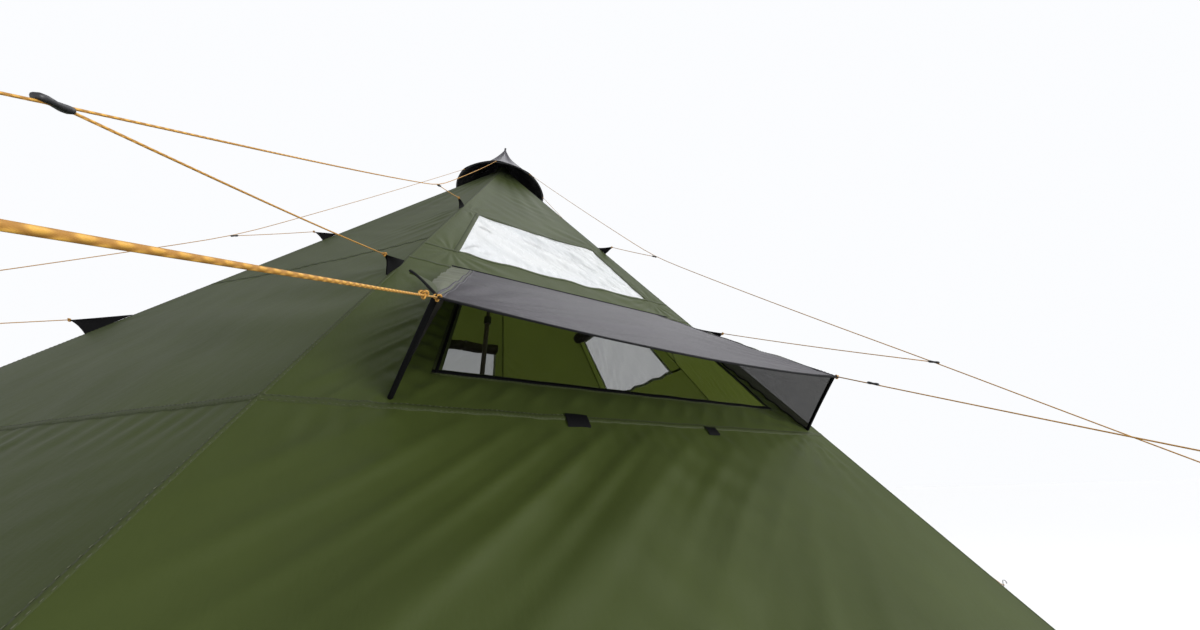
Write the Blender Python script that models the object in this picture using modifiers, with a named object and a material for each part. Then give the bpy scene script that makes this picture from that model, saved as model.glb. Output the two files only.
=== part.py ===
"""An eight-sided peaked tent on one centre pole, pitched and pegged out.

Eight sewn cloth panels meet at the ridges. The front and back panels each have a mesh window under
an awning that guylines hold up, the right and left panels each have a door, and all four have a
clear roof window. A ventilation cap sits over the top. The tent stands on the plane z = 0, centred
on the origin, and its front panel faces -Y.
"""

import math

import bmesh
import bpy
from mathutils import Matrix, Vector

# Size of the tent, in metres
SIDES = 8
APEX_HEIGHT = 3.30
GROUND_RADIUS = 2.52
FLY_FOOT_HEIGHT = 0.030
FLY_TOP_HEIGHT = APEX_HEIGHT - 0.14

# Heights of the seams and openings above the ground
GUY_TAB_UPPER = 1.935
GUY_TAB_LOWER = 1.245
AWNING_SEAM_HEIGHT = 1.327
WALL_SEAM_HEIGHT = 0.790
ROOF_WINDOW_FOOT = AWNING_SEAM_HEIGHT + 0.122
ROOF_WINDOW_TOP = ROOF_WINDOW_FOOT + 0.466
MESH_WINDOW_TOP = AWNING_SEAM_HEIGHT - 0.037
MESH_WINDOW_FOOT = WALL_SEAM_HEIGHT + 0.088
DOOR_TOP = AWNING_SEAM_HEIGHT - 0.057
DOOR_FOOT = 0.080

# Widths of the openings, as a share of the panel's own width at each height
ROOF_WINDOW_SHARE = 0.80
MESH_WINDOW_SHARE = 0.70
DOOR_SHARE = 0.60

# Cloth and clearances
CLOTH = 0.003
FILM = 0.0015
TOUCH = 0.0004
RIDGE_HALF_GAP = 0.0008
ZIP_GAP = 0.0008
HEM_OVERLAP = 0.015

# Soft folds of the wall below its seam, which run down from right to left
FOLD_DEPTH = 0.018
FOLDS_ACROSS = 1.6
FOLDS_DOWN = 0.9
WALL_ROWS = 8
WALL_SHARES = (-1, -0.8, -0.7, -0.5, -0.3, -0.1, 0.1, 0.3, 0.5, 0.7, 0.8, 1)

# Awning, measured along the cloth from its seam
AWNING_DROP = 0.707
AWNING_TILT = math.radians(19.2)
AWNING_TOP_HALF_WIDTH = 0.446
AWNING_SEAM_TOP_HALF_WIDTH = 0.390
AWNING_CORNER_HALF_WIDTH = 0.526
AWNING_TIP_HALF_WIDTH = 0.575
AWNING_TIP_DROP = 0.500
GUSSET_TOP_DROP = 0.050
GUSSET_FOOT_HALF_WIDTH = 0.550

# Ventilation cap
CAP_TIP_HEIGHT = APEX_HEIGHT + 0.23
CAP_RIM_RADIUS = 0.360
CAP_HOLE_RADIUS = 0.0095
CAP_HOLLOW = 0.028
CAP_SEGMENTS = 32
HOOP_RADIUS = 0.004
CAP_RIM_CLEARANCE = 0.171
VENT_TOP_DROP = 0.100

# Centre pole
POLE_RADIUS = 0.016
POLE_WALL = 0.002
POLE_INNER_CLEARANCE = 0.001
LOWER_POLE_TOP = 1.80
UPPER_POLE_FOOT = 1.35
UPPER_POLE_TOP = APEX_HEIGHT - 0.20
FOOT_RADIUS = 0.060
FOOT_HEIGHT = 0.008
FOOT_SPIGOT_HEIGHT = 0.060
CLAMP_RADIUS = 0.025
CLAMP_HEIGHT = 0.050
DOME_FOOT_HEIGHT = APEX_HEIGHT - 0.110
DOME_TOP_HEIGHT = APEX_HEIGHT - 0.055
SPIKE_RADIUS = 0.009
SPIKE_TIP_RADIUS = 0.0085
SPIKE_TOP_HEIGHT = APEX_HEIGHT + 0.255
CROWN_FOOT_HEIGHT = APEX_HEIGHT - 0.17
CROWN_TOP_HEIGHT = APEX_HEIGHT - 0.05
CROWN_THICKNESS = 0.002

# Groundsheet
GROUNDSHEET_RADIUS = GROUND_RADIUS - 0.06
GROUNDSHEET_THICKNESS = 0.003

# Guylines and pegs. The junctions stand this far out from the ridge, at these heights
ROPE_RADIUS = 0.002
RUNNER_RADIUS = 0.005
RIDGE_PEG_RADIUS = GROUND_RADIUS + 0.86
UPPER_JUNCTION_OUT = 0.1925
UPPER_JUNCTION_HEIGHT = 1.745
LOWER_JUNCTION_OUT = 0.487
LOWER_JUNCTION_HEIGHT = 0.965
UPPER_TAB_REACH = 0.075
LOWER_TAB_REACH = 0.085
UPPER_TAB_LENGTH = 0.070
LOWER_TAB_LENGTH = 0.100
TAB_THICKNESS = 0.003
AWNING_PEG = (1.10, -3.80)
PEG_RADIUS = 0.0035
PEG_DEPTH = 0.200
PEG_HEAD_HEIGHT = 0.035
PEG_HOOK_RADIUS = 0.012
PEG_LEAN = math.radians(20)
LOOP_RADIUS = 0.0085
LOOP_HEIGHT = 0.018

# Zip sliders
SLIDER_SIZE = (0.010, 0.024, 0.006)
SLIDER_HEIGHT = 0.13

HALF_TURN = math.pi
SECTOR = 2 * math.pi / SIDES
CIRCUM_SLOPE = GROUND_RADIUS / APEX_HEIGHT
FLAT_SLOPE = CIRCUM_SLOPE * math.cos(SECTOR / 2)
WIDTH_SLOPE = CIRCUM_SLOPE * math.sin(SECTOR / 2)
SLANT = math.hypot(1, FLAT_SLOPE)
CAP_RIM_HEIGHT = APEX_HEIGHT - CAP_RIM_RADIUS / CIRCUM_SLOPE + CAP_RIM_CLEARANCE
VENT_TOP_HEIGHT = APEX_HEIGHT - VENT_TOP_DROP
PANEL_NAMES = (
    "front", "front_right", "right", "back_right",
    "back", "back_left", "left", "front_left",
)
FRONT, RIGHT, BACK, LEFT = 0, 2, 4, 6

COLOURS = {
    "fly_cloth": ((0.105, 0.120, 0.060), 0.75, 0.0),
    "awning_cloth": ((0.105, 0.100, 0.115), 0.70, 0.0),
    "window_film": ((0.62, 0.66, 0.70), 0.25, 0.0),
    "window_mesh": ((0.030, 0.032, 0.028), 0.85, 0.0),
    "dark_webbing": ((0.012, 0.012, 0.013), 0.80, 0.0),
    "guy_rope": ((0.560, 0.300, 0.055), 0.65, 0.0),
    "steel": ((0.300, 0.300, 0.310), 0.35, 1.0),
    "dark_plastic": ((0.018, 0.018, 0.020), 0.45, 0.0),
    "groundsheet": ((0.060, 0.062, 0.065), 0.60, 0.0),
}


def clear_scene():
    for item in list(bpy.data.objects):
        bpy.data.objects.remove(item, do_unlink=True)


def new_collection(name, working=False):
    group = bpy.data.collections.new(name)
    bpy.context.scene.collection.children.link(group)
    group.hide_render = working
    return group


def material(slot):
    found = bpy.data.materials.get(slot)
    if found:
        return found
    colour, roughness, metallic = COLOURS[slot]
    made = bpy.data.materials.new(slot)
    made.use_nodes = True
    shader = made.node_tree.nodes["Principled BSDF"]
    shader.inputs["Base Color"].default_value = (*colour, 1)
    shader.inputs["Roughness"].default_value = roughness
    shader.inputs["Metallic"].default_value = metallic
    made.diffuse_color = (*colour, 1)
    return made


def add_object(name, data, slot, matrix=None, group=None):
    item = bpy.data.objects.new(name, data)
    if not data.materials:
        data.materials.append(material(slot))
    if matrix:
        item.matrix_world = matrix
    (group or TENT).objects.link(item)
    return item


def flat_sheet(name, outlines, thickness, slot, matrix, origin=(0, 0, 0)):
    """A flat sheet from closed outlines in the matrix's own XY plane. Inner outlines are holes."""
    curve = bpy.data.curves.new(name, "CURVE")
    curve.dimensions = "2D"
    curve.fill_mode = "BOTH"
    curve.extrude = thickness / 2
    for outline in outlines:
        spline = curve.splines.new("POLY")
        spline.points.add(len(outline) - 1)
        for point, (x, y) in zip(spline.points, outline):
            point.co = (x - origin[0], y - origin[1], 0, 1)
        spline.use_cyclic_u = True
    return add_object(name, curve, slot, matrix @ Matrix.Translation(origin))


def tube(name, points, radius, slot, closed=False, group=None):
    curve = bpy.data.curves.new(name, "CURVE")
    curve.dimensions = "3D"
    curve.bevel_depth = radius
    curve.bevel_resolution = 2
    curve.use_fill_caps = True
    spline = curve.splines.new("POLY")
    spline.points.add(len(points) - 1)
    for target, point in zip(spline.points, points):
        target.co = (*point, 1)
    spline.use_cyclic_u = closed
    return add_object(name, curve, slot, group=group)


def turned(name, profile, slot, segments=24):
    """A profile of (radius, height), given up its outer side, turned about the Z axis."""
    mesh = bpy.data.meshes.new(name)
    points = [(radius, 0, z) for radius, z in reversed(profile)]
    edges = [(index, index + 1) for index in range(len(points) - 1)]
    if profile[0][0] > 0:
        edges.append((len(points) - 1, 0))
    mesh.from_pydata(points, edges, [])
    item = add_object(name, mesh, slot)
    screw = item.modifiers.new("turn", "SCREW")
    screw.steps = segments
    screw.render_steps = segments
    screw.use_merge_vertices = True
    screw.merge_threshold = 0.0001
    return item


def weld(mesh):
    """Joins the caps of a converted curve to its sides, and turns all faces outwards."""
    work = bmesh.new()
    work.from_mesh(mesh)
    bmesh.ops.remove_doubles(work, verts=work.verts, dist=0.00001)
    bmesh.ops.recalc_face_normals(work, faces=work.faces)
    work.to_mesh(mesh)
    work.free()


def as_mesh(item):
    """Replaces a curve object by its mesh, kept where it stands."""
    bpy.context.view_layer.update()
    depsgraph = bpy.context.evaluated_depsgraph_get()
    mesh = bpy.data.meshes.new_from_object(item.evaluated_get(depsgraph))
    mesh.transform(item.matrix_world)
    weld(mesh)
    solid = add_object(item.name + "_solid", mesh, "guy_rope", group=WORKING)
    bpy.data.objects.remove(item, do_unlink=True)
    return solid


def fused(name, pieces, slot):
    """One mesh from overlapping pieces."""
    solids = [as_mesh(piece) for piece in pieces]
    base = solids[0]
    for other in solids[1:]:
        union = base.modifiers.new("join", "BOOLEAN")
        union.operation = "UNION"
        union.solver = "MANIFOLD"
        union.object = other
    bpy.context.view_layer.update()
    depsgraph = bpy.context.evaluated_depsgraph_get()
    mesh = bpy.data.meshes.new_from_object(base.evaluated_get(depsgraph))
    mesh.name = name
    weld(mesh)
    mesh.materials.clear()
    mesh.materials.append(material(slot))
    for solid in solids:
        bpy.data.objects.remove(solid, do_unlink=True)
    return mesh


def direction(angle):
    return Vector((math.cos(angle), math.sin(angle), 0))


def panel_angle(index):
    return -math.pi / 2 + index * SECTOR


def ridge_angle(index):
    return panel_angle(index) - SECTOR / 2


def ridge_radius(height):
    return CIRCUM_SLOPE * (APEX_HEIGHT - height)


def flat_radius(height):
    return FLAT_SLOPE * (APEX_HEIGHT - height)


def half_width(height, share=1.0):
    return share * WIDTH_SLOPE * (APEX_HEIGHT - height)


def slant(height):
    """Distance down the cloth from the apex, along the middle of a panel."""
    return SLANT * (APEX_HEIGHT - height)


def panel_matrix(index):
    """The panel's plane: X along it, Y up it, Z out of it, and its origin at the apex."""
    outward = direction(panel_angle(index))
    along = Vector((-outward.y, outward.x, 0))
    upward = Vector((-outward.x * FLAT_SLOPE, -outward.y * FLAT_SLOPE, 1)).normalized()
    normal = along.cross(upward)
    frame = Matrix((along, upward, normal)).transposed().to_4x4()
    return Matrix.Translation((0, 0, APEX_HEIGHT)) @ frame


def tapered_outline(top, foot, share=1.0, inset=0.0):
    """The four corners of a stretch of panel, from one height to another."""
    top_half = half_width(top, share) - inset
    foot_half = half_width(foot, share) - inset
    return [
        (-foot_half, -slant(foot) + inset),
        (foot_half, -slant(foot) + inset),
        (top_half, -slant(top) - inset),
        (-top_half, -slant(top) - inset),
    ]


def octagon(radius):
    return [tuple((direction(ridge_angle(i)) * radius)[:2]) for i in range(SIDES)]


def panel_holes(index):
    """Each hole of a panel as its top, its foot and its share of the panel's width."""
    holes = []
    if index in (FRONT, RIGHT, BACK, LEFT):
        holes.append((ROOF_WINDOW_TOP, ROOF_WINDOW_FOOT, ROOF_WINDOW_SHARE))
    if index in (FRONT, BACK):
        holes.append((MESH_WINDOW_TOP, MESH_WINDOW_FOOT, MESH_WINDOW_SHARE))
    if index in (RIGHT, LEFT):
        holes.append((DOOR_TOP, DOOR_FOOT, DOOR_SHARE))
    return holes


def fold_out(share, height):
    """How far the wall stands out in its folds. The seam, the foot and the ridges stay straight."""
    down = (WALL_SEAM_HEIGHT - height) / (WALL_SEAM_HEIGHT - FLY_FOOT_HEIGHT)
    if down <= 0:
        return 0
    wave = math.cos(2 * math.pi * (share * FOLDS_ACROSS / 2 + down * FOLDS_DOWN))
    return FOLD_DEPTH * wave * (1 - share ** 2) * math.sin(math.pi * min(down, 1))


def folded_panel(name, index):
    """A panel with open holes, whose wall below the seam has soft folds."""
    holes = panel_holes(index)
    seams = [FLY_TOP_HEIGHT, ROOF_WINDOW_TOP, ROOF_WINDOW_FOOT, MESH_WINDOW_TOP,
             MESH_WINDOW_FOOT, WALL_SEAM_HEIGHT]
    step = (WALL_SEAM_HEIGHT - FLY_FOOT_HEIGHT) / WALL_ROWS
    heights = seams + [WALL_SEAM_HEIGHT - step * (row + 1) for row in range(WALL_ROWS)]
    columns = len(WALL_SHARES) - 1
    rows = len(heights) - 1
    work = bmesh.new()
    bmesh.ops.create_grid(work, x_segments=columns, y_segments=rows, size=1)
    for face in list(work.faces):
        middle = face.calc_center_median()
        column = int((middle.x + 1) / 2 * columns)
        row = int((1 - middle.y) / 2 * rows)
        share = abs(WALL_SHARES[column] + WALL_SHARES[column + 1]) / 2
        height = (heights[row] + heights[row + 1]) / 2
        if any(foot < height < top and share < part for top, foot, part in holes):
            work.faces.remove(face)
    bmesh.ops.delete(work, geom=[v for v in work.verts if not v.link_faces], context="VERTS")
    bmesh.ops.delete(work, geom=[e for e in work.edges if not e.link_faces], context="EDGES")
    for vertex in work.verts:
        share = WALL_SHARES[round((vertex.co.x + 1) / 2 * columns)]
        height = heights[round((1 - vertex.co.y) / 2 * rows)]
        edge = math.copysign(RIDGE_HALF_GAP, share) if abs(share) == 1 else 0
        vertex.co = (half_width(height, share) - edge, -slant(height), fold_out(share, height))
    mesh = bpy.data.meshes.new(name)
    work.to_mesh(mesh)
    work.free()
    item = add_object(name, mesh, "fly_cloth", panel_matrix(index))
    wall = item.modifiers.new("thickness", "SOLIDIFY")
    wall.thickness = CLOTH
    wall.offset = 0


def make_panels():
    """The panels with doors are held flat by their zips. The others have folds."""
    for index, place in enumerate(PANEL_NAMES):
        name = "fly_panel_" + place
        if index not in (RIGHT, LEFT):
            folded_panel(name, index)
            continue
        outer = tapered_outline(FLY_TOP_HEIGHT, FLY_FOOT_HEIGHT)
        outlines = [[(x - math.copysign(RIDGE_HALF_GAP, x), y) for x, y in outer]]
        outlines += [tapered_outline(*hole) for hole in panel_holes(index)]
        flat_sheet(name, outlines, CLOTH, "fly_cloth", panel_matrix(index))


def make_windows():
    """The film windows lie on the outside of their holes and the mesh ones on the inside."""
    lift = CLOTH / 2 + TOUCH + FILM / 2
    for index in (FRONT, RIGHT, BACK, LEFT):
        outline = tapered_outline(
            ROOF_WINDOW_TOP, ROOF_WINDOW_FOOT, ROOF_WINDOW_SHARE, -HEM_OVERLAP)
        flat_sheet("roof_window_" + PANEL_NAMES[index], [outline], FILM, "window_film",
                   panel_matrix(index), (0, 0, lift))
    for index in (FRONT, BACK):
        outline = tapered_outline(
            MESH_WINDOW_TOP, MESH_WINDOW_FOOT, MESH_WINDOW_SHARE, -HEM_OVERLAP)
        flat_sheet("mesh_window_" + PANEL_NAMES[index], [outline], FILM, "window_mesh",
                   panel_matrix(index), (0, 0, -lift))


def awning_matrix(index):
    """The awning's plane when raised: X along its seam, Y up the cloth, origin on its seam."""
    seam = Matrix.Translation((0, -slant(AWNING_SEAM_HEIGHT), CLOTH + TOUCH))
    return panel_matrix(index) @ seam @ Matrix.Rotation(-AWNING_TILT, 4, "X")


def make_awning(index):
    place = PANEL_NAMES[index]
    half = [
        (AWNING_TOP_HALF_WIDTH, 0),
        (AWNING_TIP_HALF_WIDTH, -AWNING_TIP_DROP),
        (AWNING_CORNER_HALF_WIDTH, -AWNING_DROP),
    ]
    outline = half + [(-x, y) for x, y in reversed(half)]
    flat_sheet("awning_" + place, [outline], CLOTH, "awning_cloth", awning_matrix(index))
    for side, hand in ((-1, "left"), (1, "right")):
        make_gusset(index, side, f"gusset_{place}_{hand}")


def make_gusset(index, side, name):
    """A triangle of cloth that closes the side between the raised awning and the panel."""
    awning = awning_matrix(index)
    under = CLOTH / 2 + FILM / 4 + TOUCH
    top_width = AWNING_SEAM_TOP_HALF_WIDTH + (
        (AWNING_CORNER_HALF_WIDTH - AWNING_SEAM_TOP_HALF_WIDTH) * GUSSET_TOP_DROP / AWNING_DROP)
    top = awning @ Vector((side * top_width, -GUSSET_TOP_DROP, -under))
    corner = awning @ Vector((side * AWNING_CORNER_HALF_WIDTH, -AWNING_DROP + CLOTH, -under))
    foot = panel_matrix(index) @ Vector(
        (side * GUSSET_FOOT_HALF_WIDTH, -slant(WALL_SEAM_HEIGHT), under))
    along = (corner - top).normalized()
    normal = along.cross(foot - top).normalized()
    across = normal.cross(along)
    plane = Matrix((along, across, normal)).transposed().to_4x4()
    plane = Matrix.Translation(top) @ plane
    to_plane = plane.inverted()
    outline = [tuple((to_plane @ corner_point)[:2]) for corner_point in (top, corner, foot)]
    flat_sheet(name, [outline], FILM, "dark_webbing", plane)


def make_door(index):
    """A door that turns about its slanted side, with its origin at the foot of that side."""
    hinge = (-half_width(DOOR_FOOT, DOOR_SHARE), -slant(DOOR_FOOT), 0)
    outline = tapered_outline(DOOR_TOP, DOOR_FOOT, DOOR_SHARE, ZIP_GAP)
    flat_sheet("door_" + PANEL_NAMES[index], [outline], CLOTH, "fly_cloth",
               panel_matrix(index), hinge)


def make_zip_slider(index):
    """A slider beside the free edge of the door, that runs up the panel's face."""
    width, length, height = SLIDER_SIZE
    edge_lean = math.atan2(half_width(0), slant(0)) * DOOR_SHARE
    middle = half_width(SLIDER_HEIGHT, DOOR_SHARE) + width / 2 + 2 * ZIP_GAP
    place = Matrix.Translation(
        (middle, -slant(SLIDER_HEIGHT), CLOTH / 2 + TOUCH + height / 2))
    turn = Matrix.Rotation(edge_lean, 4, "Z")
    bpy.ops.mesh.primitive_cube_add(size=1)
    item = bpy.context.object
    item.name = "zip_slider_" + PANEL_NAMES[index]
    item.data.transform(Matrix.Diagonal((width, length, height, 1)))
    item.matrix_world = panel_matrix(index) @ place @ turn
    item.data.materials.append(material("dark_plastic"))
    bevel = item.modifiers.new("soft_edges", "BEVEL")
    bevel.width = height / 5
    bevel.segments = 2
    for group in item.users_collection:
        group.objects.unlink(item)
    TENT.objects.link(item)


def ring_sheet(name, rows, place, thickness, slot):
    """A sheet that closes round the Z axis. place(angle, row) gives each point of its mid-surface."""
    bpy.ops.mesh.primitive_cylinder_add(
        vertices=CAP_SEGMENTS, end_fill_type="NOTHING", calc_uvs=False)
    base = bpy.context.object
    mesh = base.data
    bpy.data.objects.remove(base, do_unlink=True)
    for vertex in mesh.vertices:
        row = 0 if vertex.co.z > 0 else rows
        vertex.co = place(math.atan2(vertex.co.y, vertex.co.x), row)
    item = add_object(name, mesh, slot)
    wall = item.modifiers.new("thickness", "SOLIDIFY")
    wall.thickness = thickness
    wall.offset = 0
    return item


def make_cap():
    """A thin-walled cone over the open top, its hoop, and the mesh from the hoop to the crown."""
    def cap_radius(share):
        return CAP_HOLE_RADIUS + (CAP_RIM_RADIUS - CAP_HOLE_RADIUS) * share

    def cap_height(share):
        drop = CAP_TIP_HEIGHT - CAP_RIM_HEIGHT
        return CAP_TIP_HEIGHT - drop * share - CAP_HOLLOW * math.sin(HALF_TURN * share)

    shares = [step / 6 for step in range(7)]
    outer = [(cap_radius(share), cap_height(share)) for share in reversed(shares)]
    inner = [(radius, z - CLOTH) for radius, z in reversed(outer)]
    turned("vent_cap", outer + inner, "awning_cloth", CAP_SEGMENTS)

    hoop_height = CAP_RIM_HEIGHT - CLOTH - HOOP_RADIUS / 2
    hoop_middle = CAP_RIM_RADIUS - HOOP_RADIUS
    circle = [
        direction(2 * math.pi * step / CAP_SEGMENTS) * hoop_middle + Vector((0, 0, hoop_height))
        for step in range(CAP_SEGMENTS)
    ]
    tube("vent_cap_hoop", circle, HOOP_RADIUS, "dark_plastic", closed=True)

    mesh_outer = hoop_middle - HOOP_RADIUS - TOUCH

    def mesh_point(angle, row):
        if row == 0:
            return direction(angle) * mesh_outer + Vector((0, 0, hoop_height))
        from_flat = (angle - panel_angle(0)) % SECTOR
        from_flat = min(from_flat, SECTOR - from_flat)
        crown_side = (CLOTH / 2 + TOUCH + CROWN_THICKNESS + TOUCH) * SLANT
        inner_flat = flat_radius(VENT_TOP_HEIGHT) + crown_side + FILM / 2
        return direction(angle) * (inner_flat / math.cos(from_flat)) + Vector(
            (0, 0, VENT_TOP_HEIGHT))

    ring_sheet("vent_mesh", 1, mesh_point, FILM, "window_mesh")


def make_crown():
    """The stitched cone of webbing that carries the panels on the dome of the pole."""
    lift = (CLOTH / 2 + TOUCH + CROWN_THICKNESS / 2) * SLANT
    foot = (flat_radius(CROWN_FOOT_HEIGHT) + lift) / math.cos(SECTOR / 2)
    top = (flat_radius(CROWN_TOP_HEIGHT) + lift) / math.cos(SECTOR / 2)
    height = CROWN_TOP_HEIGHT - CROWN_FOOT_HEIGHT
    bpy.ops.mesh.primitive_cone_add(
        vertices=SIDES, radius1=foot, radius2=top, depth=height, end_fill_type="NOTHING",
        calc_uvs=False)
    cone = bpy.context.object
    mesh = cone.data
    bpy.data.objects.remove(cone, do_unlink=True)
    mesh.transform(Matrix.Rotation(SECTOR / 2, 4, "Z"))
    mesh.transform(Matrix.Translation((0, 0, (CROWN_FOOT_HEIGHT + CROWN_TOP_HEIGHT) / 2)))
    item = add_object("crown", mesh, "dark_webbing")
    wall = item.modifiers.new("thickness", "SOLIDIFY")
    wall.thickness = CROWN_THICKNESS
    wall.offset = 0
    return item


def make_pole():
    foot_base = GROUNDSHEET_THICKNESS + TOUCH
    plate_top = foot_base + FOOT_HEIGHT
    bore = POLE_RADIUS - POLE_WALL
    spigot = bore - POLE_INNER_CLEARANCE / 2
    turned("pole_foot", [
        (0, foot_base), (FOOT_RADIUS, foot_base), (FOOT_RADIUS, plate_top),
        (spigot, plate_top), (spigot, plate_top + FOOT_SPIGOT_HEIGHT),
        (0, plate_top + FOOT_SPIGOT_HEIGHT),
    ], "dark_plastic")
    lower_foot = plate_top + TOUCH
    turned("pole_lower", [
        (bore, lower_foot), (POLE_RADIUS, lower_foot), (POLE_RADIUS, LOWER_POLE_TOP),
        (bore, LOWER_POLE_TOP),
    ], "steel")
    clamp_bore = POLE_RADIUS + TOUCH
    clamp_foot = LOWER_POLE_TOP - CLAMP_HEIGHT / 2
    turned("pole_clamp", [
        (clamp_bore, clamp_foot), (CLAMP_RADIUS, clamp_foot),
        (CLAMP_RADIUS, clamp_foot + CLAMP_HEIGHT), (clamp_bore, clamp_foot + CLAMP_HEIGHT),
    ], "dark_plastic")
    upper_radius = bore - POLE_INNER_CLEARANCE
    upper_bore = upper_radius - POLE_WALL
    turned("pole_upper", [
        (upper_bore, UPPER_POLE_FOOT), (upper_radius, UPPER_POLE_FOOT),
        (upper_radius, UPPER_POLE_TOP), (upper_bore, UPPER_POLE_TOP),
    ], "steel")
    make_pole_head(upper_bore)


def make_pole_head(upper_bore):
    """A plug in the upper tube, with the dome under the crown and the spike under the cap."""
    plug = upper_bore - TOUCH
    inside = (CLOTH / 2 + TOUCH) * SLANT
    dome_foot = flat_radius(DOME_FOOT_HEIGHT) + inside - TOUCH
    dome_top = flat_radius(DOME_TOP_HEIGHT) + inside - TOUCH
    shoulder = UPPER_POLE_TOP + TOUCH
    turned("pole_head", [
        (0, UPPER_POLE_TOP - FOOT_SPIGOT_HEIGHT), (plug, UPPER_POLE_TOP - FOOT_SPIGOT_HEIGHT),
        (plug, shoulder), (POLE_RADIUS, shoulder), (POLE_RADIUS, DOME_FOOT_HEIGHT),
        (dome_foot, DOME_FOOT_HEIGHT), (dome_top, DOME_TOP_HEIGHT),
        (SPIKE_RADIUS, DOME_TOP_HEIGHT), (SPIKE_TIP_RADIUS, SPIKE_TOP_HEIGHT),
        (0, SPIKE_TOP_HEIGHT),
    ], "dark_plastic")


def make_groundsheet():
    flat_sheet("groundsheet", [octagon(GROUNDSHEET_RADIUS)], GROUNDSHEET_THICKNESS,
               "groundsheet", Matrix.Translation((0, 0, GROUNDSHEET_THICKNESS / 2)))


def peg_matrix(foot, away):
    """A peg's own frame: Z along its shaft, X away from the tent, origin where it meets the soil."""
    return Matrix.Translation(foot) @ Matrix.Rotation(away, 4, "Z") @ Matrix.Rotation(
        PEG_LEAN, 4, "Y")


def make_peg(name, matrix):
    """A round steel peg whose head is bent over, away from the tent."""
    bend = [
        (PEG_HOOK_RADIUS * (1 - math.cos(angle)), 0, PEG_HEAD_HEIGHT
         + PEG_HOOK_RADIUS * math.sin(angle))
        for angle in (math.radians(step * 20) for step in range(10))
    ]
    item = tube(name, [(0, 0, -PEG_DEPTH)] + bend, PEG_RADIUS, "steel")
    item.matrix_world = matrix


def peg_loop(matrix):
    """The rope's closed loop round the peg, pulled towards the tent, and where the rope leaves it."""
    shift = LOOP_RADIUS - ROPE_RADIUS - PEG_RADIUS - TOUCH
    centre = Vector((-shift, 0, LOOP_HEIGHT))
    points = [
        matrix @ (centre + direction(math.radians(step * 30)) * LOOP_RADIUS) for step in range(12)
    ]
    ring = tube("peg_loop", points, ROPE_RADIUS, "guy_rope", closed=True)
    return ring, matrix @ (centre - Vector((LOOP_RADIUS, 0, 0)))


def runner(point):
    bpy.ops.mesh.primitive_uv_sphere_add(
        segments=8, ring_count=6, radius=RUNNER_RADIUS, location=point)
    return bpy.context.object


def guy_tab(middle_height, length, reach):
    """A triangle of webbing on the ridge, and its tip, in the plane of the ridge."""
    off = CLOTH * 0.8
    top = middle_height + length / 2
    foot = middle_height - length / 2
    tip = Vector((ridge_radius(middle_height) + reach, 0, middle_height - length / 8))
    corners = [
        (ridge_radius(top) + off, top), (ridge_radius(foot) + off, foot), (tip.x, tip.z),
    ]
    upright = Matrix.Rotation(math.pi / 2, 4, "X")
    tab = flat_sheet("guy_tab", [corners], TAB_THICKNESS, "dark_webbing", upright)
    return tab, tip


def make_ridge_guylines():
    """Each ridge has one guyline: legs from the cap and two webbing tabs, and one peg."""
    upper = Vector((
        ridge_radius(UPPER_JUNCTION_HEIGHT) + UPPER_JUNCTION_OUT, 0, UPPER_JUNCTION_HEIGHT))
    lower = Vector((
        ridge_radius(LOWER_JUNCTION_HEIGHT) + LOWER_JUNCTION_OUT, 0, LOWER_JUNCTION_HEIGHT))
    hoop_edge = Vector((CAP_RIM_RADIUS + ROPE_RADIUS + TOUCH, 0, CAP_RIM_HEIGHT - CLOTH))
    upper_tab, upper_tip = guy_tab(GUY_TAB_UPPER, UPPER_TAB_LENGTH, UPPER_TAB_REACH)
    lower_tab, lower_tip = guy_tab(GUY_TAB_LOWER, LOWER_TAB_LENGTH, LOWER_TAB_REACH)
    ring, leaves = peg_loop(peg_matrix((RIDGE_PEG_RADIUS, 0, 0), 0))
    pieces = [tube("main", [upper, lower, leaves], ROPE_RADIUS, "guy_rope")]
    pieces += [runner(upper), runner(lower)]
    for start, end in ((hoop_edge, upper), (upper_tip, upper), (lower_tip, lower)):
        inwards = (start - end).normalized() * (0 if start is hoop_edge else TAB_THICKNESS)
        pieces.append(tube("leg", [start + inwards, end], ROPE_RADIUS, "guy_rope"))
    pieces += [upper_tab, lower_tab, ring]
    mesh = fused("ridge_guyline", pieces, "guy_rope")
    for index in range(SIDES):
        angle = ridge_angle(index)
        add_object(f"ridge_guyline_{index + 1}", mesh, "guy_rope", Matrix.Rotation(angle, 4, "Z"))
        peg = direction(angle) * RIDGE_PEG_RADIUS
        make_peg(f"ridge_peg_{index + 1}", peg_matrix(peg, angle))


def make_awning_guylines():
    """A rope from each awning corner to its peg. The back pair is the front pair turned round."""
    for side, front_hand, back_hand in ((-1, "left", "right"), (1, "right", "left")):
        corner = awning_matrix(FRONT) @ Vector((side * AWNING_CORNER_HALF_WIDTH, -AWNING_DROP, 0))
        foot = Vector((side * AWNING_PEG[0], AWNING_PEG[1], 0))
        run = foot - corner
        matrix = peg_matrix(foot, math.atan2(run.y, run.x))
        ring, leaves = peg_loop(matrix)
        start = corner + (leaves - corner).normalized() * (ROPE_RADIUS / 4 + TOUCH)
        mesh = fused("awning_guyline", [
            tube("rope", [start, leaves], ROPE_RADIUS, "guy_rope"), ring], "guy_rope")
        for place, hand, turn in (("front", front_hand, 0), ("back", back_hand, math.pi)):
            round_z = Matrix.Rotation(turn, 4, "Z")
            add_object(f"awning_guyline_{place}_{hand}", mesh, "guy_rope", round_z)
            make_peg(f"awning_peg_{place}_{hand}", round_z @ matrix)


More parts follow.
